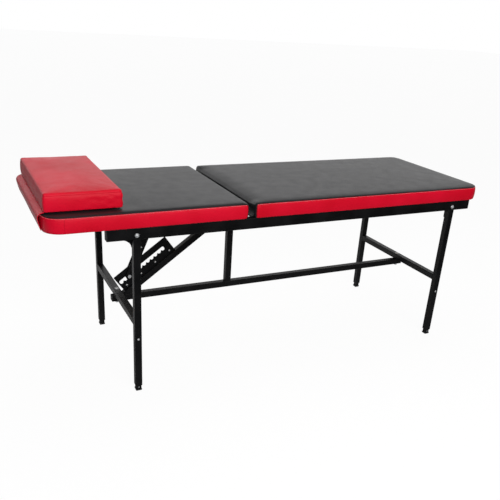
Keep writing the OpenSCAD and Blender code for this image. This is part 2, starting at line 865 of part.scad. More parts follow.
module comb_rack() {
  r = comb_corner_r;
  color(black_paint)
    on_brace()
      difference() {
        translate([0, comb_t / 2, 0])
          rotate([90, 0, 0])
            linear_extrude(comb_t)
              difference() {
                translate([-comb_start, tube_w]) square([comb_l, comb_h]);
                corner_cut(-comb_start, tube_w + comb_h, r, 1, -1);
                corner_cut(comb_l - comb_start, tube_w + comb_h, r, -1, -1);
                comb_window();
              }
        comb_holes(comb_bolt_d + 2 * bolt_fit);
      }
}

module comb_bolts() {
  color(zinc)
    on_brace()
      for (k = [0:comb_bolt_count - 1])
        translate([comb_bolt_start - comb_start + k * comb_bolt_pitch, -comb_t / 2, tube_w + comb_bolt_h])
          rotate([-90, 0, 0])
            bolt(comb_bolt_d, comb_t + tab_t + comb_nut_h, comb_head_d, comb_head_h);
}

module comb_nuts() {
  color(zinc)
    on_brace()
      for (k = [0:comb_bolt_count - 1])
        translate([comb_bolt_start - comb_start + k * comb_bolt_pitch, comb_t / 2 + tab_t,
                   tube_w + comb_bolt_h])
          rotate([-90, 0, 0]) hex_nut(comb_nut_af, comb_nut_h, comb_bolt_d);
}

// Leg extensions

module clamp_screws() {
  reach = (tube_w - ext_w) / 2 - clamp_tip_gap;
  color(zinc)
    for (x = [head_leg_x, foot_leg_x])
      for (y = [-1, 1])
        translate([x, y * rail_outer, clamp_z])
          rotate([y * 90, 0, 0]) bolt(clamp_d, reach, clamp_head_d, clamp_head_h);
}

module extension(x, y) {
  color(black_paint)
    translate([x, y * leg_y, foot_h])
      difference() {
        tube_z(ext_top - foot_h, ext_w, ext_wall);
        translate([0, 0, foot_screw_z - foot_h])
          rod_y(foot_screw_d, y > 0 ? 0 : -ext_w, y > 0 ? ext_w : 0);
      }
}

module extension_head_right() {
  extension(head_leg_x, -1);
}

module extension_head_left() {
  extension(head_leg_x, 1);
}

module extension_foot_right() {
  extension(foot_leg_x, -1);
}

module extension_foot_left() {
  extension(foot_leg_x, 1);
}

// Plastic foot with a spigot inside the extension tube
module foot(x, y) {
  inner = ext_w - 2 * ext_wall - 2 * plug_fit;
  color(black_plastic)
    translate([x, y * leg_y, 0])
      difference() {
        union() {
          translate([-foot_w / 2, -foot_w / 2, foot_r]) cube([foot_w, foot_w, foot_h - foot_r]);
          hull() {
            translate([-foot_w / 2, -foot_w / 2, foot_r]) cube([foot_w, foot_w, foot_r / 8]);
            translate([-foot_w / 2 + foot_r, -foot_w / 2 + foot_r, 0])
              cube([foot_w - 2 * foot_r, foot_w - 2 * foot_r, foot_r]);
          }
          translate([-inner / 2, -inner / 2, foot_h]) cube([inner, inner, foot_spigot]);
        }
        translate([0, 0, foot_screw_z]) rod_y(foot_screw_d, y > 0 ? 0 : -foot_w, y > 0 ? foot_w : 0);
      }
}

module foot_head_right() {
  foot(head_leg_x, -1);
}

module foot_head_left() {
  foot(head_leg_x, 1);
}

module foot_foot_right() {
  foot(foot_leg_x, -1);
}

module foot_foot_left() {
  foot(foot_leg_x, 1);
}

module foot_screw(x, y) {
  color(zinc)
    translate([x, y * (leg_y + ext_w / 2), foot_screw_z])
      rotate([y * 90, 0, 0]) bolt(foot_screw_d, foot_screw_l, foot_screw_head_d, foot_screw_head_h);
}

module foot_screw_head_right() {
  foot_screw(head_leg_x, -1);
}

module foot_screw_head_left() {
  foot_screw(head_leg_x, 1);
}

module foot_screw_foot_right() {
  foot_screw(foot_leg_x, -1);
}

module foot_screw_foot_left() {
  foot_screw(foot_leg_x, 1);
}

// Seat

module seat_board() {
  color(plywood)
    difference() {
      board(seat_end_x, foot_x, -1, 0);
      for (x = [post_x, seat_tube_x, foot_tube_x])
        for (y = [-1, 1])
          translate([x, y * hinge_y / 2, base_z - board_t]) cylinder(d = screw_d, h = board_t + screw_bite);
      leaf_screw_places(seat_screw_x)
        translate([0, 0, -board_t]) cylinder(d = screw_d, h = board_t + screw_bite);
    }
}

module seat_foam() {
  color(foam_cream) foam(seat_end_x, foot_x, -1);
}

module seat_top_cover() {
  color(black_vinyl) top_cover(seat_end_x, foot_x, -1);
}

module seat_side_band() {
  color(red_vinyl) side_band(seat_end_x, foot_x, -1);
}

module seat_screws() {
  color(zinc)
    for (x = [post_x, seat_tube_x, foot_tube_x])
      for (y = [-1, 1])
        translate([x, y * hinge_y / 2, cross_z])
          bolt(screw_d, tube_w + screw_bite, screw_head_d, screw_head_h);
}

// Hinges

// Places the children, at the underside of the boards, where the leaf screws go
module leaf_screw_places(x) {
  for (y = [-1, 1])
    for (s = [-1, 1])
      translate([x, y * hinge_y + s * hinge_l / 2 * hinge_screw_share, base_z]) children();
}

// Knuckle of a hinge from y0 to y1 with a bore of diameter bore_d
module knuckle(y0, y1, bore_d) {
  difference() {
    rod_y(knuckle_d, y0, y1);
    rod_y(bore_d, y0 - knuckle_d, y1 + knuckle_d);
  }
}

// Leaf plate from the knuckle out to l, over y0 to y1, cut round the bore
module leaf_plate(l, y0, y1, bore_d) {
  difference() {
    translate([l > 0 ? 0 : l, y0, leaf_top - leaf_t]) cube([abs(l), y1 - y0, leaf_t]);
    rod_y(bore_d, y0 - knuckle_d, y1 + knuckle_d);
  }
}

// Fixed leaf: two outer knuckles, with a notch for the middle one
module seat_leaf() {
  clear = knuckle_d / 2 + side_fit;
  for (s = [-1, 1]) {
    y0 = s > 0 ? third / 2 + side_fit / 2 : -hinge_l / 2;
    y1 = s > 0 ? hinge_l / 2 : -third / 2 - side_fit / 2;
    knuckle(y0, y1, hinge_pin_d);
    leaf_plate(seat_leaf_l, y0, y1, hinge_pin_d);
  }
  translate([clear, -hinge_l / 2, leaf_top - leaf_t]) cube([seat_leaf_l - clear, hinge_l, leaf_t]);
}

// Moving leaf: one middle knuckle
module back_leaf() {
  clear = knuckle_d / 2 + side_fit;
  y0 = -third / 2 + side_fit / 2;
  y1 = third / 2 - side_fit / 2;
  knuckle(y0, y1, hinge_pin_d + 2 * pin_fit);
  leaf_plate(-back_leaf_l, y0, y1, hinge_pin_d + 2 * pin_fit);
  translate([-back_leaf_l, -hinge_l / 2, leaf_top - leaf_t]) cube([back_leaf_l - clear, hinge_l, leaf_t]);
}

module hinge_leaves_seat() {
  color(zinc)
    difference() {
      for (y = [-1, 1]) translate([hinge_x, y * hinge_y, hinge_z]) seat_leaf();
      leaf_screw_places(seat_screw_x)
        translate([0, 0, -board_t]) cylinder(d = screw_d + bolt_fit, h = board_t + leaf_t);
    }
}

module hinge_leaves_back() {
  color(zinc)
    difference() {
      for (y = [-1, 1]) translate([hinge_x, y * hinge_y, hinge_z]) back_leaf();
      leaf_screw_places(back_screw_x)
        translate([0, 0, -board_t]) cylinder(d = screw_d + bolt_fit, h = board_t + leaf_t);
    }
}

module hinge_pins() {
  color(zinc)
    for (y = [-1, 1])
      translate([hinge_x, y * hinge_y, hinge_z]) {
        rod_y(hinge_pin_d, -hinge_l / 2 - hinge_pin_head_h, hinge_l / 2 + hinge_pin_head_h);
        for (s = [-1, 1])
          translate([0, s * (hinge_l + hinge_pin_head_h) / 2, 0])
            rod_y(hinge_pin_head_d, -hinge_pin_head_h / 2, hinge_pin_head_h / 2);
      }
}

module hinge_screws_seat() {
  color(zinc)
    leaf_screw_places(seat_screw_x)
      translate([0, 0, -leaf_t]) bolt(screw_d, leaf_t + screw_bite, screw_head_d, screw_head_h);
}

module hinge_screws_back() {
  color(zinc)
    leaf_screw_places(back_screw_x)
      translate([0, 0, -leaf_t]) bolt(screw_d, leaf_t + screw_bite, screw_head_d, screw_head_h);
}

// Backrest

module bracket_screw_places() {
  for (sx = [-1, 1])
    for (sy = [-1, 1])
      translate([pivot_x + sx * bracket_l / 2 * bracket_screw_share,
                 sy * bracket_w / 2 * bracket_row_share, base_z + rest_gap])
        children();
}

module backrest_board() {
  color(plywood)
    difference() {
      board(head_x, back_end_x, 1, rest_gap);
      leaf_screw_places(back_screw_x)
        translate([0, 0, -board_t]) cylinder(d = screw_d, h = board_t + screw_bite);
      bracket_screw_places() translate([0, 0, -board_t]) cylinder(d = screw_d, h = board_t + screw_bite);
    }
}

module backrest_foam() {
  color(foam_cream) foam(head_x, back_end_x, 1);
}

module backrest_top_cover() {
  color(black_vinyl) top_cover(head_x, back_end_x, 1);
}

module backrest_side_band() {
  color(red_vinyl) side_band(head_x, back_end_x, 1);
}

// Bracket under the backrest: a base plate with two ears for the pivot pin
module strut_bracket() {
  drop = base_z + rest_gap - pivot_z;
  color(black_paint)
    difference() {
      union() {
        translate([pivot_x - bracket_l / 2, -bracket_w / 2, base_z + rest_gap - bracket_t])
          cube([bracket_l, bracket_w, bracket_t]);
        for (s = [-1, 1])
          translate([pivot_x, s > 0 ? ear_outer : -ear_inner, pivot_z])
            rotate([90, 0, 0])
              linear_extrude(bracket_t) {
                circle(ear_r);
                translate([-ear_r, 0]) square([2 * ear_r, drop - bracket_t / 2]);
              }
      }
      translate([pivot_x, 0, pivot_z]) rod_y(pivot_d, -bracket_w, bracket_w);
      bracket_screw_places()
        translate([0, 0, -board_t]) cylinder(d = screw_d + bolt_fit, h = board_t + bracket_t);
    }
}

module bracket_screws() {
  color(zinc)
    bracket_screw_places()
      translate([0, 0, -bracket_t]) bolt(screw_d, bracket_t + screw_bite, screw_head_d, screw_head_h);
}

module strut_pivot_pin() {
  color(zinc)
    translate([pivot_x, 0, pivot_z]) {
      rod_y(pivot_d, -ear_outer, ear_outer);
      for (s = [-1, 1])
        translate([0, s * (ear_outer + pivot_head_h / 2), 0])
          rod_y(pivot_head_d, -pivot_head_h / 2, pivot_head_h / 2);
    }
}

// Strut

module on_strut() {
  translate([catch_world_x, 0, catch_world_z]) rotate([0, -strut_angle, 0]) children();
}

// One flat bar with round ends, bored for the pivot, the catch pin and the spacer's rivet
module strut_bar(y0) {
  translate([0, y0 + bar_t, 0])
    rotate([90, 0, 0])
      linear_extrude(bar_t)
        difference() {
          union() {
            circle(d = bar_w);
            translate([0, -bar_w / 2]) square([strut_l, bar_w]);
            translate([strut_l, 0]) circle(d = bar_w);
          }
          circle(d = catch_d);
          translate([spacer_along, 0]) circle(d = rivet_d);
          translate([strut_l, 0]) circle(d = pivot_d + 2 * pin_fit);
        }
}

module strut_bars() {
  color(black_paint)
    on_strut() {
      strut_bar(bar_half_gap);
      strut_bar(-bar_outer);
    }
}

module catch_pin() {
  color(zinc)
    on_strut() {
      rod_y(catch_d, -bar_outer, bar_outer);
      for (s = [-1, 1])
        translate([0, s * (bar_outer + catch_head_h / 2), 0])
          rod_y(catch_head_d, -catch_head_h / 2, catch_head_h / 2);
    }
}

module strut_spacer() {
  color(zinc)
    on_strut()
      translate([spacer_along, 0, 0]) {
        rod_y(spacer_d, -bar_half_gap, bar_half_gap);
        rod_y(rivet_d, -bar_outer, bar_outer);
      }
}

// Pillow

// Outline of the pillow inset by s at height z above its base
function pillow_ring(s, z) =
  let (r = max(pillow_corner_r - s / 2, edge_r / 3))
  ring(pillow_x0 + s, pillow_x1 - s, pillow_w / 2 - s, r, r, pillow_z + z);

pillow_side = [for (k = [0:4]) [pillow_draw * pow(2 * k / 4 - 1, 2), (pillow_t - pillow_edge_r) * k / 4]];
pillow_edge = [for (k = [1:4])
  [pillow_draw + pillow_edge_r * (1 - cos(22.5 * k)),
   pillow_t - pillow_edge_r + pillow_edge_r * sin(22.5 * k)]];
pillow_crown = [for (k = [1:2])
  [pillow_draw + pillow_edge_r + pillow_crown_reach * k / 2, pillow_t + pillow_crown_h * sin(45 * k)]];
pillow_rows = concat(pillow_side, pillow_edge, pillow_crown);

module pillow_foam() {
  inset = vinyl_t + plug_fit;
  n = len(pillow_rows);
  color(foam_cream)
    skin([for (j = [0:n - 1])
      pillow_ring(pillow_rows[j][0] + inset, pillow_rows[j][1] - (j < 5 ? 0 : inset))]);
}

module pillow_cover() {
  n = len(pillow_rows);
  color(red_vinyl)
    skin(concat(
      [for (j = [0:n - 1])
        let (row = pillow_rows[n - 1 - j])
        pillow_ring(row[0] + vinyl_t, row[1] - (n - 1 - j < 5 ? 0 : vinyl_t))],
      [for (j = [0:n - 1]) pillow_ring(pillow_rows[j][0], pillow_rows[j][1])]
    ));
}

// Middle line of the flap in x and z: flat under the pillow, over the cushion's edge, down to its hem
flap_line = concat(
  [[pillow_x1 - pillow_corner_r, flap_z + flap_t / 2], [head_x + flap_turn_r, flap_z + flap_t / 2]],
  [for (k = [1:6])
    [head_x + flap_turn_r - (flap_turn_r + flap_bulge + flap_t / 2) * sin(15 * k),
     flap_z + flap_t / 2 - flap_turn_r * (1 - cos(15 * k))]],
  [for (k = [1:4])
    let (s = k / 4)
    [head_x - flap_t / 2 - flap_bulge + (flap_bulge - flap_air - flap_t / 2) * s * s,
     flap_z + flap_t / 2 - flap_turn_r
       - (flap_z - flap_turn_r - base_z - flap_rise) * s]]
);

// Unit normal of the flap's line at point i
function flap_normal(i) =
  let (
    a = flap_line[max(i - 1, 0)],
    b = flap_line[min(i + 1, len(flap_line) - 1)],
    d = b - a,
    n = sqrt(d[0] * d[0] + d[1] * d[1])
  )
  [d[1] / n, -d[0] / n];

module pillow_flap() {
  n = len(flap_line);
  color(red_vinyl)
    translate([0, flap_w / 2, 0])
      rotate([90, 0, 0])
        linear_extrude(flap_w)
          polygon(concat(
            [for (i = [0:n - 1]) flap_line[i] + flap_normal(i) * flap_t / 2],
            [for (i = [0:n - 1]) flap_line[n - 1 - i] - flap_normal(n - 1 - i) * flap_t / 2]
          ));
}

side_rail_right();
side_rail_left();
rail_end_caps();
cross_tubes();
cross_tube_hinge();
leg_head_right();
leg_head_left();
leg_foot_right();
leg_foot_left();
crossbar_head();
crossbar_foot();
leg_lugs();
leg_bolts();
large_nuts();
stretcher();
stretcher_plugs();
stretcher_bolts();
centre_post();
diagonal_brace();
comb_tab();
comb_rack();
comb_bolts();
comb_nuts();
clamp_screws();
seat_board();
seat_foam();
seat_top_cover();
seat_side_band();
seat_screws();
hinge_leaves_seat();
hinge_pins();
hinge_screws_seat();
backrest_board();
backrest_foam();
backrest_top_cover();
backrest_side_band();
hinge_leaves_back();
hinge_screws_back();
strut_bracket();
bracket_screws();
strut_pivot_pin();
strut_bars();
catch_pin();
strut_spacer();
pillow_foam();
pillow_cover();
pillow_flap();
extension_head_right();
extension_head_left();
extension_foot_right();
extension_foot_left();
foot_head_right();
foot_head_left();
foot_foot_right();
foot_foot_left();
foot_screw_head_right();
foot_screw_head_left();
foot_screw_foot_right();
foot_screw_foot_left();
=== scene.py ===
import json
import bmesh
import bpy
import numpy as np
from mathutils import Matrix


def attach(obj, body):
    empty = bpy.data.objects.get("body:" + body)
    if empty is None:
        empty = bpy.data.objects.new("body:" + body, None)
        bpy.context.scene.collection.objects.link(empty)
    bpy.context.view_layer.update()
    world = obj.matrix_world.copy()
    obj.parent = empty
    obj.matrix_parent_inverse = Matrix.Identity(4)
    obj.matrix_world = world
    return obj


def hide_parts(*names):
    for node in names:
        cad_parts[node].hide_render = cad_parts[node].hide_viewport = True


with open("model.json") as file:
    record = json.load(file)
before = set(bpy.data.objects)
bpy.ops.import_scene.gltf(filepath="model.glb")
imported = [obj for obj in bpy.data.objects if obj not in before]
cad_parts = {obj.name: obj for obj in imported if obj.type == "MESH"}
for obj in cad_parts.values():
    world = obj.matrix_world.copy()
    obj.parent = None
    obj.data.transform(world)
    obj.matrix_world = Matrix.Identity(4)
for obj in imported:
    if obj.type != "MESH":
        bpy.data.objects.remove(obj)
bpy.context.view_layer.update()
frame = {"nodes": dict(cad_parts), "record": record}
mm = 0.001
print("frame loaded")


def linearColour(hexText):
    # sRGB hex to linear: dark values are divided by 12.92, the others follow the 2.4 power curve
    parts = [int(hexText[i:i + 2], 16) / 255 for i in (1, 3, 5)]
    return [p / 12.92 if p <= 0.04045 else ((p + 0.055) / 1.055) ** 2.4 for p in parts] + [1.0]


def setInputs(tree, node, inputs):
    # values or other nodes' outputs go into a node's inputs, in order or by name or number
    for key, value in inputs.items() if isinstance(inputs, dict) else enumerate(inputs):
        if isinstance(value, bpy.types.NodeSocket):
            tree.links.new(value, node.inputs[key])
        else:
            node.inputs[key].default_value = value


def addNode(tree, kind, inputs=(), **settings):
    # one node with its settings and inputs; MapRange takes a value, the range that it has and the range that it gets
    node = tree.nodes.new("ShaderNode" + kind)
    for key, value in settings.items():
        setattr(node, key, value)
    setInputs(tree, node, inputs)
    return node


def newMaterial(name):
    # an empty surface, and the piece's own coordinates in metres for its patterns
    material = bpy.data.materials.new(name)
    material.use_nodes = True
    tree = material.node_tree
    tree.nodes.clear()
    shader = addNode(tree, "BsdfPrincipled")
    addNode(tree, "OutputMaterial", {"Surface": shader.outputs["BSDF"]})
    return material, tree, shader, addNode(tree, "TexCoord").outputs["Object"]


noiseSpan = (0.3, 0.7)       # most values of a noise texture lie between these
wavePeriod = 0.314           # metres from band to band of a wave texture at scale 1

vinylLook = {
    # each vinyl's seam colour is painted shade, mixed into the grain's furrows and into the seams
    "black": {"deep": "#18181a", "light": "#222224", "seam": "#0a0a0b", "roughLow": 0.39, "roughHigh": 0.44,
              "gloss": 0.44},
    "red": {"deep": "#bd0820", "light": "#cc0d2a", "seam": "#66000f", "roughLow": 0.38, "roughHigh": 0.45,
            "gloss": 0.22},
    "grain": 1.9 * mm,       # embossed leather grain, really near 1.2 mm, coarser so that it shows
    "grainHeight": 0.08 * mm, "grainRelief": 0.55,
    "furrow": 0.18, "furrowShade": 0.22,                   # the furrows' width in cells, and how dark their painted shade is
    "fine": 1.1875 * mm, "fineShare": 0.35,                # unevenness inside the grain
    "wave": 46 * mm, "waveHeight": 0.07 * mm,              # slow waves of the foam under the vinyl
    "cloud": 190 * mm, "cloudSpan": (0.35, 0.65),          # slow drift of the tone
    "seamShade": 0.85, "ior": 1.52,
}


def leatherclothMaterial(name, look):
    # PVC leathercloth: a fine embossed grain, a soft sheen, and painted shade darkening the grain's furrows and the
    # seams where it turns in
    material, tree, shader, place = newMaterial(name)
    v = vinylLook
    cells = addNode(tree, "TexVoronoi", {"Vector": place, "Scale": 1 / v["grain"]}, feature="DISTANCE_TO_EDGE")
    fine = addNode(tree, "TexNoise", {"Vector": place, "Scale": 1 / v["fine"], "Detail": 3.0})
    slow = addNode(tree, "TexNoise", {"Vector": place, "Scale": 1 / v["wave"], "Detail": 2.0})
    cloud = addNode(tree, "TexNoise", {"Vector": place, "Scale": 1 / v["cloud"], "Detail": 2.0})
    furrow = addNode(tree, "MapRange", (cells.outputs["Distance"], 0, v["furrow"], 0, 1)).outputs[0]
    height = addNode(tree, "Math", (fine.outputs["Fac"], v["fineShare"], furrow), operation="MULTIPLY_ADD")
    grainBump = addNode(tree, "Bump", {"Strength": v["grainRelief"], "Distance": v["grainHeight"],
                                       "Height": height.outputs[0]})
    waveBump = addNode(tree, "Bump", {"Strength": 1.0, "Distance": v["waveHeight"],
                                      "Height": slow.outputs["Fac"], "Normal": grainBump.outputs["Normal"]})
    drift = addNode(tree, "MapRange", (cloud.outputs["Fac"], *v["cloudSpan"], 0, 1)).outputs[0]
    tone = addNode(tree, "Mix", {0: drift, 6: linearColour(look["deep"]), 7: linearColour(look["light"])},
                   data_type="RGBA").outputs[2]
    # painted shade: the grain's furrows are darkened towards the seam colour
    dim = addNode(tree, "MapRange", (furrow, 0, 1, v["furrowShade"], 0)).outputs[0]
    furrowShadedTone = addNode(tree, "Mix", {0: dim, 6: tone, 7: linearColour(look["seam"])}, data_type="RGBA").outputs[2]
    # painted shade at the seams, joins and hem: the seamShade attribute darkens the tone further towards the seam
    # colour
    seam = addNode(tree, "Attribute", attribute_name="seamShade").outputs["Fac"]
    turned = addNode(tree, "MapRange", (seam, 0, 1, 0, v["seamShade"])).outputs[0]
    setInputs(tree, shader, {
        "Base Color": addNode(tree, "Mix", {0: turned, 6: furrowShadedTone, 7: linearColour(look["seam"])},
                              data_type="RGBA").outputs[2],
        "Roughness": addNode(tree, "MapRange", (slow.outputs["Fac"], *noiseSpan, look["roughLow"],
                                                look["roughHigh"])).outputs[0],
        "Normal": waveBump.outputs["Normal"], "IOR": v["ior"], "Specular IOR Level": look["gloss"]})
    return material


powderLook = {
    "deep": "#080809", "light": "#101011", "roughLow": 0.36, "roughHigh": 0.47, "gloss": 0.24,
    "dust": 70 * mm, "dustSpan": (0.4, 0.75), "peel": 2.2 * mm, "peelHeight": 0.06 * mm, "relief": 0.35,
}


def powderCoatMaterial():
    # satin black powder coat on steel: a low sheen over a faint orange peel, with a little dust in its tone
    material, tree, shader, place = newMaterial("satinBlackPowderCoat")
    p = powderLook
    peel = addNode(tree, "TexNoise", {"Vector": place, "Scale": 1 / p["peel"], "Detail": 2.0})
    dust = addNode(tree, "TexNoise", {"Vector": place, "Scale": 1 / p["dust"], "Detail": 4.0})
    share = addNode(tree, "MapRange", (dust.outputs["Fac"], *p["dustSpan"], 0, 1)).outputs[0]
    setInputs(tree, shader, {
        "Base Color": addNode(tree, "Mix", {0: share, 6: linearColour(p["deep"]), 7: linearColour(p["light"])},
                              data_type="RGBA").outputs[2],
        "Roughness": addNode(tree, "MapRange", (dust.outputs["Fac"], *noiseSpan, p["roughLow"],
                                                p["roughHigh"])).outputs[0],
        "Normal": addNode(tree, "Bump", {"Strength": p["relief"], "Distance": p["peelHeight"],
                                         "Height": peel.outputs["Fac"]}).outputs["Normal"],
        "Specular IOR Level": p["gloss"]})
    return material


zincLook = {
    "deep": "#cdd0d3", "light": "#eceeef", "roughLow": 0.38, "roughHigh": 0.52, "cloud": 3 * mm,
    "metallic": 0.75,        # the clear passivate over the zinc scatters a little
    "spangle": 0.9 * mm, "spangleHeight": 0.03 * mm, "relief": 0.2,
}


def zincMaterial():
    # bright zinc plate on fasteners: a pale metal, slightly clouded, with a soft crystalline unevenness
    material, tree, shader, place = newMaterial("brightZincPlate")
    z = zincLook
    cloud = addNode(tree, "TexNoise", {"Vector": place, "Scale": 1 / z["cloud"], "Detail": 3.0}).outputs["Fac"]
    spangle = addNode(tree, "TexVoronoi", {"Vector": place, "Scale": 1 / z["spangle"]})
    setInputs(tree, shader, {
        "Base Color": addNode(tree, "Mix", {0: cloud, 6: linearColour(z["deep"]), 7: linearColour(z["light"])},
                              data_type="RGBA").outputs[2],
        "Roughness": addNode(tree, "MapRange", (cloud, *noiseSpan, z["roughLow"], z["roughHigh"])).outputs[0],
        "Normal": addNode(tree, "Bump", {"Strength": z["relief"], "Distance": z["spangleHeight"],
                                         "Height": spangle.outputs["Distance"]}).outputs["Normal"],
        "Metallic": z["metallic"]})
    return material


plasticLook = {
    "deep": "#101011", "light": "#1d1d1e", "roughLow": 0.48, "roughHigh": 0.62, "ior": 1.51,
    "scuff": 14 * mm, "scuffSpan": (0.45, 0.75), "spark": 0.8 * mm, "sparkHeight": 0.05 * mm, "relief": 0.4,
}


def mouldedPlasticMaterial():
    # injection-moulded polyethylene plugs and feet: matt, with the fine spark texture of the mould
    material, tree, shader, place = newMaterial("blackMouldedPolyethylene")
    p = plasticLook
    spark = addNode(tree, "TexNoise", {"Vector": place, "Scale": 1 / p["spark"], "Detail": 4.0})
    scuff = addNode(tree, "TexNoise", {"Vector": place, "Scale": 1 / p["scuff"], "Detail": 3.0})
    share = addNode(tree, "MapRange", (scuff.outputs["Fac"], *p["scuffSpan"], 0, 1)).outputs[0]
    setInputs(tree, shader, {
        "Base Color": addNode(tree, "Mix", {0: share, 6: linearColour(p["deep"]), 7: linearColour(p["light"])},
                              data_type="RGBA").outputs[2],
        "Roughness": addNode(tree, "MapRange", (scuff.outputs["Fac"], *noiseSpan, p["roughLow"],
                                                p["roughHigh"])).outputs[0],
        "Normal": addNode(tree, "Bump", {"Strength": p["relief"], "Distance": p["sparkHeight"],
                                         "Height": spark.outputs["Fac"]}).outputs["Normal"],
        "IOR": p["ior"]})
    return material


plyLook = {
    "early": "#c29a63", "late": "#d8b683", "dark": "#8f6a3c", "roughLow": 0.6, "roughHigh": 0.74,
    "stretch": 14.0,         # the figure is this many times longer along the table than across it
    "figure": 160 * mm, "figureSpan": (0.35, 0.65), "figureBend": 0.6,
    "pores": 14 * mm, "poreSpan": (0.28, 0.42), "poreShade": 0.45, "poreDepth": 0.1 * mm, "relief": 0.3,
    "layer": 3 * mm, "layerShade": 0.18, "layerBend": 0.4,
}


def birchPlyMaterial():
    # sanded birch plywood, grain along the table: long pale figure with short dark pores
    material, tree, shader, place = newMaterial("sandedBirchPly")
    p = plyLook
    along = addNode(tree, "Mapping", {"Vector": place, "Scale": (1.0, p["stretch"], p["stretch"])}).outputs[0]
    figure = addNode(tree, "TexNoise", {"Vector": along, "Scale": 1 / p["figure"], "Detail": 6.0,
                                        "Distortion": p["figureBend"]})
    pores = addNode(tree, "TexNoise", {"Vector": along, "Scale": 1 / p["pores"], "Detail": 3.0})
    layers = addNode(tree, "TexWave", {"Vector": place, "Scale": wavePeriod / p["layer"],
                                       "Distortion": p["layerBend"]}, bands_direction="Z")
    share = addNode(tree, "MapRange", (figure.outputs["Fac"], *p["figureSpan"], 0, 1)).outputs[0]
    base = addNode(tree, "Mix", {0: share, 6: linearColour(p["early"]), 7: linearColour(p["late"])},
                   data_type="RGBA").outputs[2]
    pitted = addNode(tree, "MapRange", (pores.outputs["Fac"], *p["poreSpan"], p["poreShade"], 0)).outputs[0]
    marked = addNode(tree, "Mix", {0: pitted, 6: base, 7: linearColour(p["dark"])}, data_type="RGBA").outputs[2]
    edge = addNode(tree, "MapRange", (layers.outputs["Fac"], 0, 1, 0, p["layerShade"])).outputs[0]
    setInputs(tree, shader, {
        "Base Color": addNode(tree, "Mix", {0: edge, 6: marked, 7: linearColour(p["dark"])},
                              data_type="RGBA").outputs[2],
        "Roughness": addNode(tree, "MapRange", (figure.outputs["Fac"], *noiseSpan, p["roughLow"],
                                                p["roughHigh"])).outputs[0],
        "Normal": addNode(tree, "Bump", {"Strength": p["relief"], "Distance": p["poreDepth"],
                                         "Height": pores.outputs["Fac"]}).outputs["Normal"]})
    return material


# the thread's pale colours are partly a painted highlight for the glints along the seam
threadLook = {"deep": "#c77a80", "light": "#ecc3c4", "roughLow": 0.5, "roughHigh": 0.65, "sheen": 0.2,
              "twist": 0.5 * mm, "twistBend": 1.0}


def threadMaterial():
    # twisted polyester sewing thread, pink; much paler than the vinyl that it holds, its pale colour partly a
    # painted highlight along the seam
    material, tree, shader, place = newMaterial("polyesterThread")
    t = threadLook
    twist = addNode(tree, "TexWave", {"Vector": place, "Scale": wavePeriod / t["twist"],
                                      "Distortion": t["twistBend"]}, bands_direction="DIAGONAL").outputs["Fac"]
    setInputs(tree, shader, {
        "Base Color": addNode(tree, "Mix", {0: twist, 6: linearColour(t["deep"]), 7: linearColour(t["light"])},
                              data_type="RGBA").outputs[2],
        "Roughness": addNode(tree, "MapRange", (twist, 0, 1, t["roughLow"], t["roughHigh"])).outputs[0],
        "Sheen Weight": t["sheen"]})
    return material


blackVinyl = leatherclothMaterial("blackLeathercloth", vinylLook["black"])
redVinyl = leatherclothMaterial("redLeathercloth", vinylLook["red"])
powderCoat = powderCoatMaterial()
zincPlate = zincMaterial()
mouldedPlastic = mouldedPlasticMaterial()
birchPly = birchPlyMaterial()
sewingThread = threadMaterial()
print("materials made")


def meshPiece(name, points, faces, material, body):
    # a smooth-shaded object at the origin that rides on a body
    mesh = bpy.data.meshes.new(name)
    mesh.from_pydata(points.tolist(), [], faces)
    mesh.materials.append(material)
    mesh.polygons.foreach_set("use_smooth", np.ones(len(mesh.polygons), bool))
    mesh.update()
    piece = bpy.data.objects.new(name, mesh)
    bpy.context.scene.collection.objects.link(piece)
    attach(piece, body)
    return piece


def pointsOf(mesh):
    points = np.empty(len(mesh.vertices) * 3)
    mesh.vertices.foreach_get("co", points)
    return points.reshape(-1, 3)


def setPoints(mesh, points):
    mesh.vertices.foreach_set("co", np.asarray(points, float).ravel())
    mesh.update()


def vertexNormals(mesh):
    normals = np.empty(len(mesh.vertices) * 3)
    mesh.vertices.foreach_get("normal", normals)
    return normals.reshape(-1, 3)


def setSeamShade(mesh, values):
    layer = mesh.attributes.new("seamShade", "FLOAT", "POINT")
    layer.data.foreach_set("value", np.asarray(values, np.float32).ravel())


def unit(vectors):
    # each vector over its own length
    return vectors / np.maximum(np.linalg.norm(vectors, axis=-1, keepdims=True), 1e-9)


def wayAlong(line):
    # the way from a line's first point to each of its points: the running sum of its steps
    return np.concatenate([[0], np.cumsum(np.linalg.norm(np.diff(line, axis=0), axis=1))])


def pointsAt(places, run, line):
    # the line's points at other ways along it
    return np.stack([np.interp(places, run, column) for column in line.T], -1)


def gridFaces(index):
    # one quad for each cell of a grid of vertex numbers
    return np.stack([index[:-1, :-1], index[1:, :-1], index[1:, 1:], index[:-1, 1:]], -1).reshape(-1, 4)


def softNoise(a, b, seed, waves, longest, finer=1.45, weaker=1.3, height=2.6):
    # smooth noise of two parameters: a sum of sines in seeded directions, each finer and weaker than the one
    # before by the same share, over the height that keeps it near one
    random = np.random.default_rng(seed)
    total = np.zeros(np.broadcast(a, b).shape)
    size, strength = longest, 1.0
    for _ in range(waves):
        turn, start = random.uniform(0, 2 * np.pi, 2)
        total += strength * np.sin(2 * np.pi * (a * np.cos(turn) + b * np.sin(turn)) / size + start)
        size, strength = size / finer, strength / weaker
    return total / height


def smoothStep(value, low, high):
    # from 0 to 1 between low and high, by three squares less two cubes
    t = np.clip((value - low) / (high - low), 0, 1)
    return t * t * (3 - 2 * t)


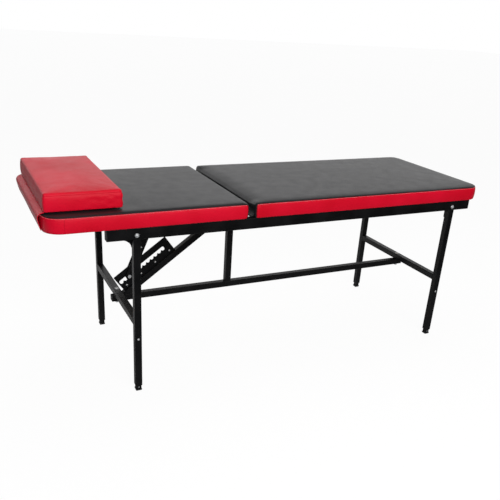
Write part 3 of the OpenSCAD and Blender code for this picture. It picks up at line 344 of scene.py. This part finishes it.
headX, backEnd, seatEnd, footX = -894.8 * mm, -189.8 * mm, -168.8 * mm, 905.2 * mm
clothBase = {                # the pressure that swells a pad; moves past the percentile stray don't set the scale
    "quality": 5, "mass": 0.4, "frames": 20, "pressure": 4.0, "stray": 99.5,
}
cushionBase = {              # both cushions, in metres, with the source's own profile
    "half": 300 * mm, "bottom": 632 * mm, "thickness": 58 * mm, "highest": 692.4 * mm, "lift": 0.0,
    "cell": 9 * mm,                                        # spacing of the top's grid
    "endRadius": 62 * mm, "gapRadius": 14 * mm, "leastRadius": 3 * mm,         # corners, seen from above
    "edge": 6 * mm, "rollIn": 13 * mm, "rollAngles": (74, 58, 42, 26),         # the rounding over the seam
    "roll": 18 * mm,                                       # the larger rounding at the gap between the sections
    "draw": 3 * mm, "bandShares": (0.93, 0.84, 0.72, 0.58, 0.44, 0.3, 0.17, 0.07, 0.0),   # rows of the drawn-in band
    "recess": 12.4 * mm, "hemInset": 4.4 * mm,             # the hem, turned up over the board's edge
    "startCrown": 0.7 * mm, "crownReach": 190 * mm,        # the crown before the cloth swells
    "cloth": dict(clothBase, tension=40, bending=4, cap=1.7 * mm),
    "heldReach": 20 * mm, "heldWeight": 0.9,               # beside the gap the cloth is nearly held
    "fall": 3.0 * mm, "fallReach": 30 * mm, "gapFall": 1.5 * mm, "gapReach": 24 * mm,     # the top's sinking edges
    # seamShade: how much painted shade the seam's groove gets
    "seamGap": 1.3 * mm, "seamInset": 0.15 * mm, "seamDepth": 1.5 * mm, "seamShade": 1.0,
    "seamSteps": ((-2, 0.08), (-1, 0.3), (0, 1.0), (1, 0.3), (2, 0.08)),       # rows by the seam, and their share
    "pucker": 0.22 * mm, "puckerLength": 60 * mm, "puckerWaves": 5,
    "crease": 0.35 * mm, "creaseLength": 130 * mm, "creaseWaves": 6, "creaseAlong": 1.0, "creaseUp": 1.7,
    "creaseFrom": (-2.0, -1.9), "creaseSides": 0.7, "creaseLean": 0.3,         # where they start, and their slant
    "skin": 1.0 * mm, "skinTop": (-0.9, 0.55), "skinHem": 0.9, "skinEnd": 1.7, # the band over the pad, in skins
    # underSeam and joinShade: painted shade just under the seam and along the band's upright joins
    "wall": 0.8 * mm, "bandStop": 3.5 * mm, "bandMiddle": 4, "underSeam": 0.3,
    "joins": [], "joinColumns": (-2.4 * mm, -0.9 * mm, 0.9 * mm, 2.4 * mm), "joinDepth": 0.9 * mm, "joinShade": 0.8,
}
backrest = dict(cushionBase, x0=headX, x1=backEnd, gap=1, lift=0.4 * mm, seed=11,
                joins=[(headX + 61 * mm, -0.3), (headX + 61 * mm, 0.3)])
seat = dict(cushionBase, x0=seatEnd, x1=footX, gap=-1, seed=23, fall=4.4 * mm, fallReach=42 * mm,
            gapFall=11 * mm, gapReach=66 * mm, joins=[(footX - 66 * mm, 0.3)])


def plan(u, v, x0, x1, half, r0, r1):
    # a square grid from -1 to 1 spread over a rectangle, its corner squares pushed into quarter discs:
    # a point of a corner square is scaled along its ray by the larger over the length of its two parts
    x = x0 + (u + 1) / 2 * (x1 - x0)
    y = v * half
    for end, radius, side in ((x0, r0, -1), (x1, r1, 1)):
        p = (side * (x - end) + radius) / radius
        q = (np.abs(y) - half + radius) / radius
        inside = (p > 0) & (q > 0)
        scale = np.where(inside, np.maximum(p, q) / np.maximum(np.hypot(p, q), 1e-9), 1)
        x = np.where(inside, end + side * radius * (p * scale - 1), x)
        y = np.where(inside, np.sign(y) * (half - radius + radius * q * scale), y)
    return x, y


def edgeLoop(nx, ny):
    # grid indices (i, j) round the rim: near side, far end in x, far side, near end in x
    i = np.concatenate([np.arange(nx), np.full(ny, nx), np.arange(nx, 0, -1), np.zeros(ny, int)])
    j = np.concatenate([np.zeros(nx, int), np.arange(ny), np.full(nx, ny), np.arange(ny, 0, -1)])
    return i, j


def padForm(c):
    # a closed pad as one box of quads: a grid over the top with its corners rounded, rows down the side and a
    # grid below; each row is the plan at its own inset and height, and the end at the gap has the larger roll
    nx = int(round((c["x1"] - c["x0"]) / c["cell"]))
    ny = int(round(2 * c["half"] / c["cell"]))
    u, v = np.meshgrid(np.linspace(-1, 1, nx + 1), np.linspace(-1, 1, ny + 1), indexing="ij")
    bandTop = c["thickness"] - c["edge"]
    rollStart = c["thickness"] - c["roll"]

    def ring(u, v, inset, z):
        rise = np.clip(z - rollStart, 0, c["roll"])
        rolled = np.maximum(inset, c["roll"] - np.sqrt(c["roll"] ** 2 - rise ** 2))
        in0, in1 = rolled if c["gap"] < 0 else inset, rolled if c["gap"] > 0 else inset
        r0 = c["gapRadius" if c["gap"] < 0 else "endRadius"] - in0
        r1 = c["gapRadius" if c["gap"] > 0 else "endRadius"] - in1
        return plan(u, v, c["x0"] + in0, c["x1"] - in1, c["half"] - inset,
                    max(r0, c["leastRadius"]), max(r1, c["leastRadius"]))

    rimInset = c["draw"] + c["rollIn"]
    x, y = ring(u, v, rimInset, c["thickness"])
    away = np.minimum(np.minimum(x - x.min(), x.max() - x), c["half"] - rimInset - np.abs(y))
    crown = c["startCrown"] * np.sin(np.pi / 2 * np.clip(away / c["crownReach"], 0, 1))
    topGrid = np.stack([x, y, c["bottom"] + c["thickness"] + crown], -1)

    rows = []
    for t in np.radians(c["rollAngles"]):                  # the rolled edge above the seam, wider than it is high
        rows.append((c["draw"] + c["rollIn"] * (1 - np.cos(t)), bandTop + c["edge"] * np.sin(t)))
    seamLoop = len(rows) + 2
    rows += [(c["draw"] + c["seamInset"], bandTop + c["seamGap"]), (c["draw"], bandTop),
             (c["draw"], bandTop - c["seamGap"])]
    for share in c["bandShares"]:                          # the band: drawn in at top and bottom
        rows.append((c["draw"] * (2 * share - 1) ** 2, bandTop * share))
    bandEnd = len(rows) + 1
    if c["recess"]:                                        # the hem turns up inside, over the board's edge
        rows += [(c["hemInset"], 0.0), (c["hemInset"], c["recess"] / 2), (c["hemInset"], c["recess"])]
    i, j = edgeLoop(nx, ny)
    side = []
    for inset, z in rows:
        rx, ry = ring(u[i, j], v[i, j], inset, z)
        side.append(np.stack([rx, ry, np.full(len(i), c["bottom"] + max(z, c["lift"]))], -1))
    side = np.array(side)
    ux, uy = ring(u[1:-1, 1:-1], v[1:-1, 1:-1], *rows[-1])
    under = np.stack([ux, uy, np.full(ux.shape, side[-1, 0, 2])], -1)

    gridIndex = np.arange(u.size).reshape(u.shape)
    loops = np.vstack([gridIndex[i, j], u.size + np.arange(len(rows) * len(i)).reshape(len(rows), -1)])
    below = np.empty_like(gridIndex)
    below[1:-1, 1:-1] = loops.max() + 1 + np.arange(ux.size).reshape(ux.shape)
    below[i, j] = loops[-1]
    faces = gridFaces(gridIndex).tolist()
    for upper, lower in zip(loops, loops[1:]):
        faces += np.stack([upper, lower, np.roll(lower, -1), np.roll(upper, -1)], -1).tolist()
    faces += np.roll(gridFaces(below)[:, ::-1], 1, axis=1).tolist()
    points = np.vstack([topGrid.reshape(-1, 3), side.reshape(-1, 3), under.reshape(-1, 3)])
    return {"points": points, "faces": faces, "loops": loops, "seamLoop": seamLoop, "bandEnd": bandEnd}


def inflate(piece, held, settings):
    # cloth pressure inside the closed pad: held vertices stay, the others swell, and the largest move is capped
    mesh = piece.data
    before = pointsOf(mesh)
    group = piece.vertex_groups.new(name="held")
    for weight in np.unique(held):
        if weight > 0:
            group.add(np.flatnonzero(held == weight).tolist(), float(weight), "REPLACE")
    cloth = piece.modifiers.new("cloth", "CLOTH")
    cloth.settings.quality = settings["quality"]
    cloth.settings.mass = settings["mass"]
    cloth.settings.tension_stiffness = settings["tension"]
    cloth.settings.compression_stiffness = settings["tension"]
    cloth.settings.bending_stiffness = settings["bending"]
    cloth.settings.use_pressure = True
    cloth.settings.uniform_pressure_force = settings["pressure"]
    cloth.settings.vertex_group_mass = "held"
    cloth.settings.effector_weights.gravity = 0
    cloth.collision_settings.use_collision = False
    cloth.collision_settings.use_self_collision = False
    for number in range(1, settings["frames"] + 1):
        bpy.context.scene.frame_set(number)
    graph = bpy.context.evaluated_depsgraph_get()
    after = pointsOf(piece.evaluated_get(graph).data)
    piece.modifiers.remove(cloth)
    piece.vertex_groups.remove(group)
    bpy.context.scene.frame_set(1)
    move = after - before
    size = np.linalg.norm(move, axis=1)
    reach = np.percentile(size, settings["stray"])
    if reach > settings["cap"]:
        move *= settings["cap"] / reach
        size *= settings["cap"] / reach
    move *= np.minimum(1, settings["cap"] / np.maximum(size, 1e-9))[:, None]
    setPoints(mesh, before + move)
    print(piece.name, "swelled by up to", round(float(min(reach, settings["cap"]) / mm), 2), "mm")


def easeEdges(points, c):
    # the soft top sinks towards its edges by the square of the way left to the rim, deepest at the middle of
    # the gap end; a point at the seam's height or below it stays
    fromSide = c["half"] - np.abs(points[:, 1])
    ends = (c["x0"], c["x1"]) if c["gap"] < 0 else (c["x1"], c["x0"])
    fromGap, fromFar = np.abs(points[:, 0] - ends[0]), np.abs(points[:, 0] - ends[1])
    rim = 1 - np.clip(np.minimum(fromSide, fromFar) / c["fallReach"], 0, 1)
    gap = 1 - np.clip(fromGap / c["gapReach"], 0, 1)
    height = points[:, 2] - c["bottom"] - c["thickness"]
    points[:, 2] -= (c["fall"] * rim ** 2 * np.clip(1 + height / c["edge"], 0, 1)
                     + c["gapFall"] * gap ** 2 * smoothStep(fromSide, 0, c["gapReach"])
                     * np.clip(1 + height / c["roll"], 0, 1))


def makePad(name, c, body, material, replaced):
    # the swollen pad, then along its normals a groove at the seam with painted shade along it, puckers beside it and
    # creases on the band
    form = padForm(c)
    points, loops, seamLoop = form["points"], form["loops"], form["seamLoop"]
    piece = meshPiece(name, points, form["faces"], material, body)
    mesh = piece.data
    held = np.zeros(len(points))
    held[loops[form["bandEnd"] - 2:].ravel()] = 1          # the foot of the band, the hem
    held[loops.max() + 1:] = 1                             # and the underside stay on the board
    if c["gap"]:
        nearGap = np.abs(points[:, 0] - c["x1" if c["gap"] > 0 else "x0"]) < c["heldReach"]
        held[nearGap & (held < 1)] = c["heldWeight"]
    inflate(piece, held, c["cloth"])
    points = pointsOf(mesh)
    if c["fall"]:
        easeEdges(points, c)
        setPoints(mesh, points)
    normals = vertexNormals(mesh)
    run = wayAlong(points[loops[seamLoop]])
    pucker = softNoise(run, 0, c["seed"], c["puckerWaves"], c["puckerLength"])
    # painted shade along the seam's groove, strongest on its middle row
    shade = np.zeros(len(points))
    for step, share in c["seamSteps"]:
        loop = loops[seamLoop + step]
        depth = c["seamDepth"] * share + c["pucker"] * pucker * (1 - share) * (step != 0)
        points[loop] -= normals[loop] * depth[:, None]
        shade[loop] = np.maximum(shade[loop], c["seamShade"] * share ** 1.5)
    lower = loops[seamLoop + 2:form["bandEnd"] - 1]
    for k, loop in enumerate(lower):
        x, y, z = points[loop].T
        fold = softNoise(run * c["creaseAlong"] + c["creaseLean"] * z, z * c["creaseUp"], c["seed"] + 5,
                         c["creaseWaves"], c["creaseLength"])
        where = smoothStep(x, *c["creaseFrom"]) * (np.abs(y) > c["half"] * c["creaseSides"])
        depth = c["crease"] * fold * where * np.sin(np.pi * (k + 1) / (len(lower) + 1))
        points[loop] -= normals[loop] * depth[:, None]
    points[:, 2] = np.clip(points[:, 2], c["bottom"] + c["lift"], c["highest"])
    setPoints(mesh, points)
    setSeamShade(mesh, shade)
    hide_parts(*replaced)
    return piece, form


def addJoins(rows, c):
    # upright joins of the band: close columns are put in beside each join, by the way along the band, and the
    # middle one is drawn in, least at the band's two long edges
    line = rows[c["bandMiddle"]]
    run = wayAlong(line)
    places, depth = run, np.zeros(len(run))
    for place in c["joins"]:
        at = run[np.argmin(np.hypot(line[:, 0] - place[0], line[:, 1] - place[1]))]
        places = np.concatenate([places, at + np.array(c["joinColumns"])])
        depth = np.concatenate([depth, np.zeros(len(c["joinColumns"]))])
        depth[np.argmin(np.abs(run - at))] = 1.0
    order = np.argsort(places)
    places, depth = places[order], depth[order]
    wide = np.stack([pointsAt(places, run, row) for row in rows])
    way = np.gradient(wide[c["bandMiddle"]], axis=0)
    inward = unit(np.stack([-way[:, 1], way[:, 0]], -1))
    fade = np.sin(np.pi * np.linspace(0, 1, len(wide)))[:, None]
    wide[:, :, :2] += (c["joinDepth"] * fade * depth)[:, :, None] * inward
    return wide, depth


def makeBand(name, pad, form, c, body, replaced):
    # the red band, wrapped round three sides over the pad: the pad's own side rows from the seam down, moved out
    # by the vinyl's thickness, with the upper edge turned into the seam and both ends under an upright seam; painted
    # shade darkens the seam, the row under it, both ends and the joins
    points, normals = pointsOf(pad.data), vertexNormals(pad.data)
    loops = form["loops"][form["seamLoop"]:form["bandEnd"]]
    x = points[loops[2], 0]
    shown = x < c["x1"] - c["bandStop"] if c["gap"] > 0 else x > c["x0"] + c["bandStop"]
    start = int(np.flatnonzero(shown & ~np.roll(shown, 1))[0])
    columns = np.roll(np.arange(len(x)), -start)[np.roll(shown, -start)]
    out = c["skin"] * np.array([*c["skinTop"], *[1.0] * (len(loops) - 3), c["skinHem"]])
    outer = points[loops[:, columns]] + normals[loops[:, columns]] * out[:, None, None]
    outer[-1, :, 2] = c["bottom"] + c["lift"]
    for k in (0, -1):
        outer[:, k] -= normals[loops[:, columns[k]]] * c["skin"] * c["skinEnd"]
    outer, joined = addJoins(outer, c)
    index = np.arange(outer[:, :, 0].size).reshape(outer.shape[:2])
    piece = meshPiece(name, outer.reshape(-1, 3), gridFaces(index).tolist(), redVinyl, body)
    # painted shade along the joins, the seam's row, the row under it and both ends
    shade = np.tile(joined * c["joinShade"], (len(outer), 1))
    shade[0], shade[1] = 1.0, np.maximum(shade[1], c["underSeam"])
    shade[:, 0] = shade[:, -1] = 1.0
    setSeamShade(piece.data, shade)
    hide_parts(*replaced)
    return piece, outer


stitch = {                   # sizes of one stitch, and how its ring's radius and place change from its middle out
    "pitch": 5.0 * mm, "length": 3.6 * mm, "thread": 0.8 * mm, "proud": 0.25 * mm, "ahead": 0.5 * mm,
    "rings": 5, "sides": 6, "taper": 0.92, "least": 0.05, "sink": 0.55,
}


def stitchRow(name, line, outward, body):
    # stitches along a line: each is a short capsule of rings whose radius follows the root of one minus the
    # square of the way along it, laid along the line and sunk at both ends
    s = stitch
    run = wayAlong(line)
    places = np.arange(s["pitch"], run[-1] - s["pitch"], s["pitch"])
    centre = pointsAt(places, run, line)
    along = unit(pointsAt(places + s["ahead"], run, line) - centre)
    out = pointsAt(places, run, outward)
    out = unit(out - along * (out * along).sum(1, keepdims=True))
    across = np.cross(along, out)
    t = np.linspace(-1, 1, s["rings"])
    width = s["thread"] / 2 * np.sqrt(np.clip(1 - t ** 2 * s["taper"], s["least"], 1))
    sink = -s["thread"] * s["sink"] * t ** 2
    turn = np.arange(s["sides"]) * 2 * np.pi / s["sides"]
    cloud = (centre[:, None, None] + along[:, None, None] * (t * s["length"] / 2)[None, :, None, None]
             + out[:, None, None] * ((width[:, None] * np.cos(turn)) + sink[:, None])[None, :, :, None]
             + across[:, None, None] * (width[:, None] * np.sin(turn))[None, :, :, None])
    index = np.arange(cloud[..., 0].size).reshape(cloud.shape[:3])
    nextSide = np.roll(index, -1, 2)
    quads = np.stack([index[:, :-1], index[:, 1:], nextSide[:, 1:], nextSide[:, :-1]], -1)
    faces = quads.reshape(-1, 4).tolist() + index[:, 0].tolist() + index[:, -1, ::-1].tolist()
    piece = meshPiece(name, cloud.reshape(-1, 3), faces, sewingThread, body)
    shell = bmesh.new()
    shell.from_mesh(piece.data)
    bmesh.ops.recalc_face_normals(shell, faces=shell.faces)
    shell.to_mesh(piece.data)
    shell.free()
    return piece


def finishSoft(piece, wall=None, offset=-1):
    # a wall where the piece is a single sheet, inwards or to both sides of it, then one subdivision
    if wall:
        solid = piece.modifiers.new("wall", "SOLIDIFY")
        solid.thickness, solid.offset = wall, offset
    smooth = piece.modifiers.new("smooth", "SUBSURF")
    smooth.levels = smooth.render_levels = 1


def makeCushion(name, c, body, padNodes, bandNodes):
    # the black pad, the red band round it and the stitches along the seam, which both follow the pad
    pad, form = makePad(name + "Pad", c, body, blackVinyl, padNodes)
    band, rows = makeBand(name + "Band", pad, form, c, body, bandNodes)
    outward = vertexNormals(band.data).reshape(rows.shape)
    outward = unit(outward[1] + outward[2])                # the stitches hold the band just under its seam
    line = (rows[1] + rows[2]) / 2 + stitch["proud"] * outward
    stitches = stitchRow(name + "Stitches", line, outward, body)
    finishSoft(pad)
    finishSoft(band, wall=c["wall"])
    band.parent = pad
    stitches.parent = pad
    print(name, "made")


makeCushion("backrest", backrest, "backrest", ["backrest_foam", "backrest_top_cover"], ["backrest_side_band"])
makeCushion("seat", seat, "base", ["seat_foam", "seat_top_cover"], ["seat_side_band"])

# the pillow's seam gets only a little painted shade
pillow = dict(cushionBase, x0=headX + 8 * mm, x1=headX + 262.5 * mm, gap=0, seed=37, half=263 * mm,
              bottom=695.3 * mm, thickness=60 * mm, highest=760 * mm, cell=5.6 * mm, endRadius=11 * mm,
              edge=9 * mm, roll=9 * mm, rollIn=8 * mm, draw=2.1 * mm, recess=0, startCrown=0.6 * mm,
              crownReach=63 * mm, fall=0, seamDepth=0.6 * mm, seamShade=0.12, pucker=0.45 * mm,
              puckerLength=70 * mm, crease=3.0 * mm, creaseLength=75 * mm, creaseFrom=(-0.82, -0.66),
              creaseAlong=0.55, creaseUp=2.3, cloth=dict(clothBase, tension=25, bending=2, cap=4.5 * mm))
pillowPad, _ = makePad("headPillow", pillow, "pillow", redVinyl, ["pillow_foam", "pillow_cover"])
finishSoft(pillowPad)
print("pillow made")

flap = {
    "half": 253 * mm, "thickness": 2.4 * mm, "level": 694.1 * mm, "start": headX + 250 * mm, "turn": 18 * mm,
    "hem": 635 * mm, "bulge": 8 * mm, "tuck": 0.8 * mm, "ease": 1.15,          # how the hang comes back to the band
    "cell": 5 * mm, "rows": 64, "steps": 24, "hemShade": 0.5,
    "sway": 0.9 * mm, "swayLength": 260 * mm, "swayWaves": 2, "swayFrom": (245 * mm, 300 * mm), "seed": 51,
}


def flapLine():
    # flat under the pillow, a quarter turn over the cushion's edge, then a hang that eases back to the cushion
    f = flap
    out = f["bulge"] + f["thickness"] / 2
    flat = np.array([[f["start"], f["level"]], [headX + f["turn"], f["level"]]])
    t = np.radians(np.linspace(0, 90, f["steps"] + 1))[1:]
    turned = np.stack([headX + f["turn"] - (f["turn"] + out) * np.sin(t),
                       f["level"] - f["turn"] * (1 - np.cos(t))], -1)
    s = np.linspace(0, 1, f["steps"] + 1)[1:]
    down = np.stack([headX - out + (f["bulge"] + f["tuck"]) * s ** f["ease"],
                     f["level"] - f["turn"] + (f["hem"] - f["level"] + f["turn"]) * s], -1)
    line = np.vstack([flat, turned, down])
    run = wayAlong(line)
    return pointsAt(np.linspace(0, run[-1], f["rows"]), run, line), run[-1]


def makeFlap():
    # a doubled vinyl sheet: its middle line carried across the pillow's width, moved along its normal by soft
    # noise that grows from the turn down to the hem
    f = flap
    line, length = flapLine()
    y = np.linspace(-f["half"], f["half"], int(round(2 * f["half"] / f["cell"])) + 1)
    step = np.gradient(line, axis=0)
    normal = unit(np.stack([step[:, 1], -step[:, 0]], -1))
    run = np.linspace(0, length, f["rows"])[:, None]
    sway = f["sway"] * softNoise(y[None, :], run, f["seed"], f["swayWaves"], f["swayLength"])
    shift = sway * smoothStep(run, *f["swayFrom"])
    grid = np.stack([line[:, :1] - normal[:, :1] * shift, y[None, :] + 0 * shift,
                     line[:, 1:] - normal[:, 1:] * shift], -1)
    index = np.arange(shift.size).reshape(shift.shape)
    piece = meshPiece("pillowFlap", grid.reshape(-1, 3), gridFaces(index).tolist(), redVinyl, "pillow")
    # painted shade along a row just above the hem's fold
    shade = np.zeros(shift.shape)
    shade[-3] = f["hemShade"]
    setSeamShade(piece.data, shade)
    finishSoft(piece, wall=f["thickness"], offset=0)
    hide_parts("pillow_flap")
    print("flap length", round(length / mm, 1), "mm")


makeFlap()

finishes = {
    "satin_black_paint": powderCoat, "zinc_plate": zincPlate, "black_plastic": mouldedPlastic,
    "plywood": birchPly, "foam": blackVinyl, "black_vinyl": blackVinyl, "red_vinyl": redVinyl,
}
softEdges = {"width": 0.5 * mm, "small": 0.25 * mm, "weld": 0.005 * mm, "angle": 35, "segments": 2}


def dressNode(name, node, slotName):
    # the node's finish, and an eased edge on what is hard: finer on the fasteners and the comb
    node.data.materials.clear()
    node.data.materials.append(finishes[slotName])
    if slotName in ("foam", "black_vinyl", "red_vinyl"):
        return
    weld = node.modifiers.new("weld", "WELD")
    weld.merge_threshold = softEdges["weld"]
    bevel = node.modifiers.new("softEdge", "BEVEL")
    bevel.width = softEdges["small" if slotName == "zinc_plate" or "comb" in name else "width"]
    bevel.segments = softEdges["segments"]
    bevel.limit_method = "ANGLE"
    bevel.angle_limit = np.radians(softEdges["angle"])
    bevel.harden_normals = False


for part in frame["record"]["subparts"]:
    dressNode(part["node"], frame["nodes"][part["node"]], part["material_slot"])
print("frame dressed")

studio = {                   # bright behind the table and dim on the camera's side, as its reflections show
    "backLight": 1.06, "frontLight": 0.08, "backdrop": (0.25, 0.968, 0.0),   # the way to the bright backdrop
    "backdropSides": (0.25, 0.7), "backdropTop": (0.4, 0.64),
    "floorBack": 0.98, "floorFront": 0.05, "floorSpan": (-0.9, 1.1), "floorReach": 30, "floorLevel": -0.4 * mm,
    "floorGlow": 0.94, "floorDeep": "#3c3c3c", "floorLight": "#424242", "floorSpeck": 25 * mm,
    "floorRough": 0.9, "floorGloss": 0.1,
}
lamps = {
    "overheadSoftbox": {"place": (0.1, 0.6, 3.0), "aim": (0, 0, 0.6), "size": (3.0, 2.0), "power": 40,
                        "mirrored": False},
    "frontSoftbox": {"place": (-0.5, -3.6, 2.1), "aim": (0.1, 0, 0.5), "size": (2.6, 1.5), "power": 130,
                     "mirrored": False},
    "sheenSoftbox": {"place": (-0.5, -3.6, 2.3), "aim": (0.1, 0, 0.5), "size": (4.5, 2.2), "power": 62,
                     "mirrored": True},
}
photoView = {                # the photograph's view, fitted to the table's corners
    "sensor": 36, "lens": 44.8632, "shift": 0.0892, "clip": (0.05, 100),
    "rows": [[0.899508, 0.128178, -0.417679, -1.1478], [-0.432637, 0.394600, -0.810627, -2.2000],
             [0.060912, 0.909869, 0.410401, 1.2960], [0, 0, 0, 1]],
}


def makeFloor():
    # a plain pale studio floor: to the camera a dark base under an even glow, together just under white, because
    # a brighter one eats into the dark legs; as light its bounce fades from the backdrop to the camera's side
    r = studio["floorReach"]
    mesh = bpy.data.meshes.new("studioFloor")
    mesh.from_pydata([(x, y, studio["floorLevel"]) for x, y in ((-r, -r), (r, -r), (r, r), (-r, r))],
                     [], [(0, 1, 2, 3)])
    floor = bpy.data.objects.new("studioFloor", mesh)
    bpy.context.scene.collection.objects.link(floor)
    material, tree, shader, place = newMaterial("paleStudioFloor")
    seen = addNode(tree, "LightPath").outputs["Is Camera Ray"]
    depth = addNode(tree, "SeparateXYZ", (place,)).outputs["Y"]
    speck = addNode(tree, "TexNoise", {"Vector": place, "Scale": 1 / studio["floorSpeck"], "Detail": 2.0})
    base = addNode(tree, "Mix", {0: speck.outputs["Fac"], 6: linearColour(studio["floorDeep"]),
                                 7: linearColour(studio["floorLight"])}, data_type="RGBA").outputs[2]
    bounce = addNode(tree, "MapRange", (depth, *studio["floorSpan"], studio["floorFront"],
                                        studio["floorBack"])).outputs[0]
    setInputs(tree, shader, {
        "Base Color": addNode(tree, "Mix", {0: seen, 6: bounce, 7: base}, data_type="RGBA").outputs[2],
        "Emission Color": (1, 1, 1, 1),
        "Emission Strength": addNode(tree, "Math", (seen, studio["floorGlow"]), operation="MULTIPLY").outputs[0],
        "Roughness": studio["floorRough"], "Specular IOR Level": studio["floorGloss"]})
    mesh.materials.append(material)


def makeLamp(name, lamp):
    # a softbox whose back looks away from its aim; one that isn't mirrored lights, but leaves no glare
    data = bpy.data.lights.new(name, "AREA")
    data.shape, data.size, data.size_y, data.energy = "RECTANGLE", *lamp["size"], lamp["power"]
    light = bpy.data.objects.new(name, data)
    light.visible_glossy = lamp["mirrored"]
    bpy.context.scene.collection.objects.link(light)
    back = unit(np.array(lamp["place"], float) - np.array(lamp["aim"], float))
    right = unit(np.cross([0, 0, 1.0], back))
    turn = np.stack([right, np.cross(back, right), back, lamp["place"]], -1)
    light.matrix_world = Matrix([*turn.tolist(), [0, 0, 0, 1]])


def makeCamera():
    data = bpy.data.cameras.new("photoCamera")
    data.sensor_width, data.lens, data.shift_y = photoView["sensor"], photoView["lens"], photoView["shift"]
    data.clip_start, data.clip_end = photoView["clip"]
    camera = bpy.data.objects.new("photoCamera", data)
    bpy.context.scene.collection.objects.link(camera)
    camera.matrix_world = Matrix(photoView["rows"])
    bpy.context.scene.camera = camera


def makeWorld():
    # white where the camera looks; as light it is bright behind the table, up to the backdrop's top, and dim
    # everywhere else
    world = bpy.data.worlds.new("studioWhite")
    world.use_nodes = True
    tree = world.node_tree
    tree.nodes.clear()
    look = addNode(tree, "TexCoord").outputs["Generated"]
    way = addNode(tree, "VectorMath", (look, studio["backdrop"]), operation="DOT_PRODUCT").outputs["Value"]
    wide = addNode(tree, "MapRange", (way, *studio["backdropSides"], 0, 1)).outputs[0]
    rise = addNode(tree, "SeparateXYZ", (look,)).outputs["Z"]
    low = addNode(tree, "MapRange", (rise, *studio["backdropTop"], 1, 0)).outputs[0]
    bright = addNode(tree, "Math", (wide, low), operation="MULTIPLY").outputs[0]
    light = addNode(tree, "MapRange", (bright, 0, 1, studio["frontLight"], studio["backLight"])).outputs[0]
    seen = addNode(tree, "LightPath").outputs["Is Camera Ray"]
    strength = addNode(tree, "MapRange", (seen, 0, 1, light, 1)).outputs[0]
    sky = addNode(tree, "Background", {"Color": (1, 1, 1, 1), "Strength": strength})
    addNode(tree, "OutputWorld", {"Surface": sky.outputs[0]})
    bpy.context.scene.world = world


makeFloor()
for name, lamp in lamps.items():
    makeLamp(name, lamp)
makeCamera()
makeWorld()
bpy.context.scene.view_settings.view_transform = "Standard"
print("stage set")
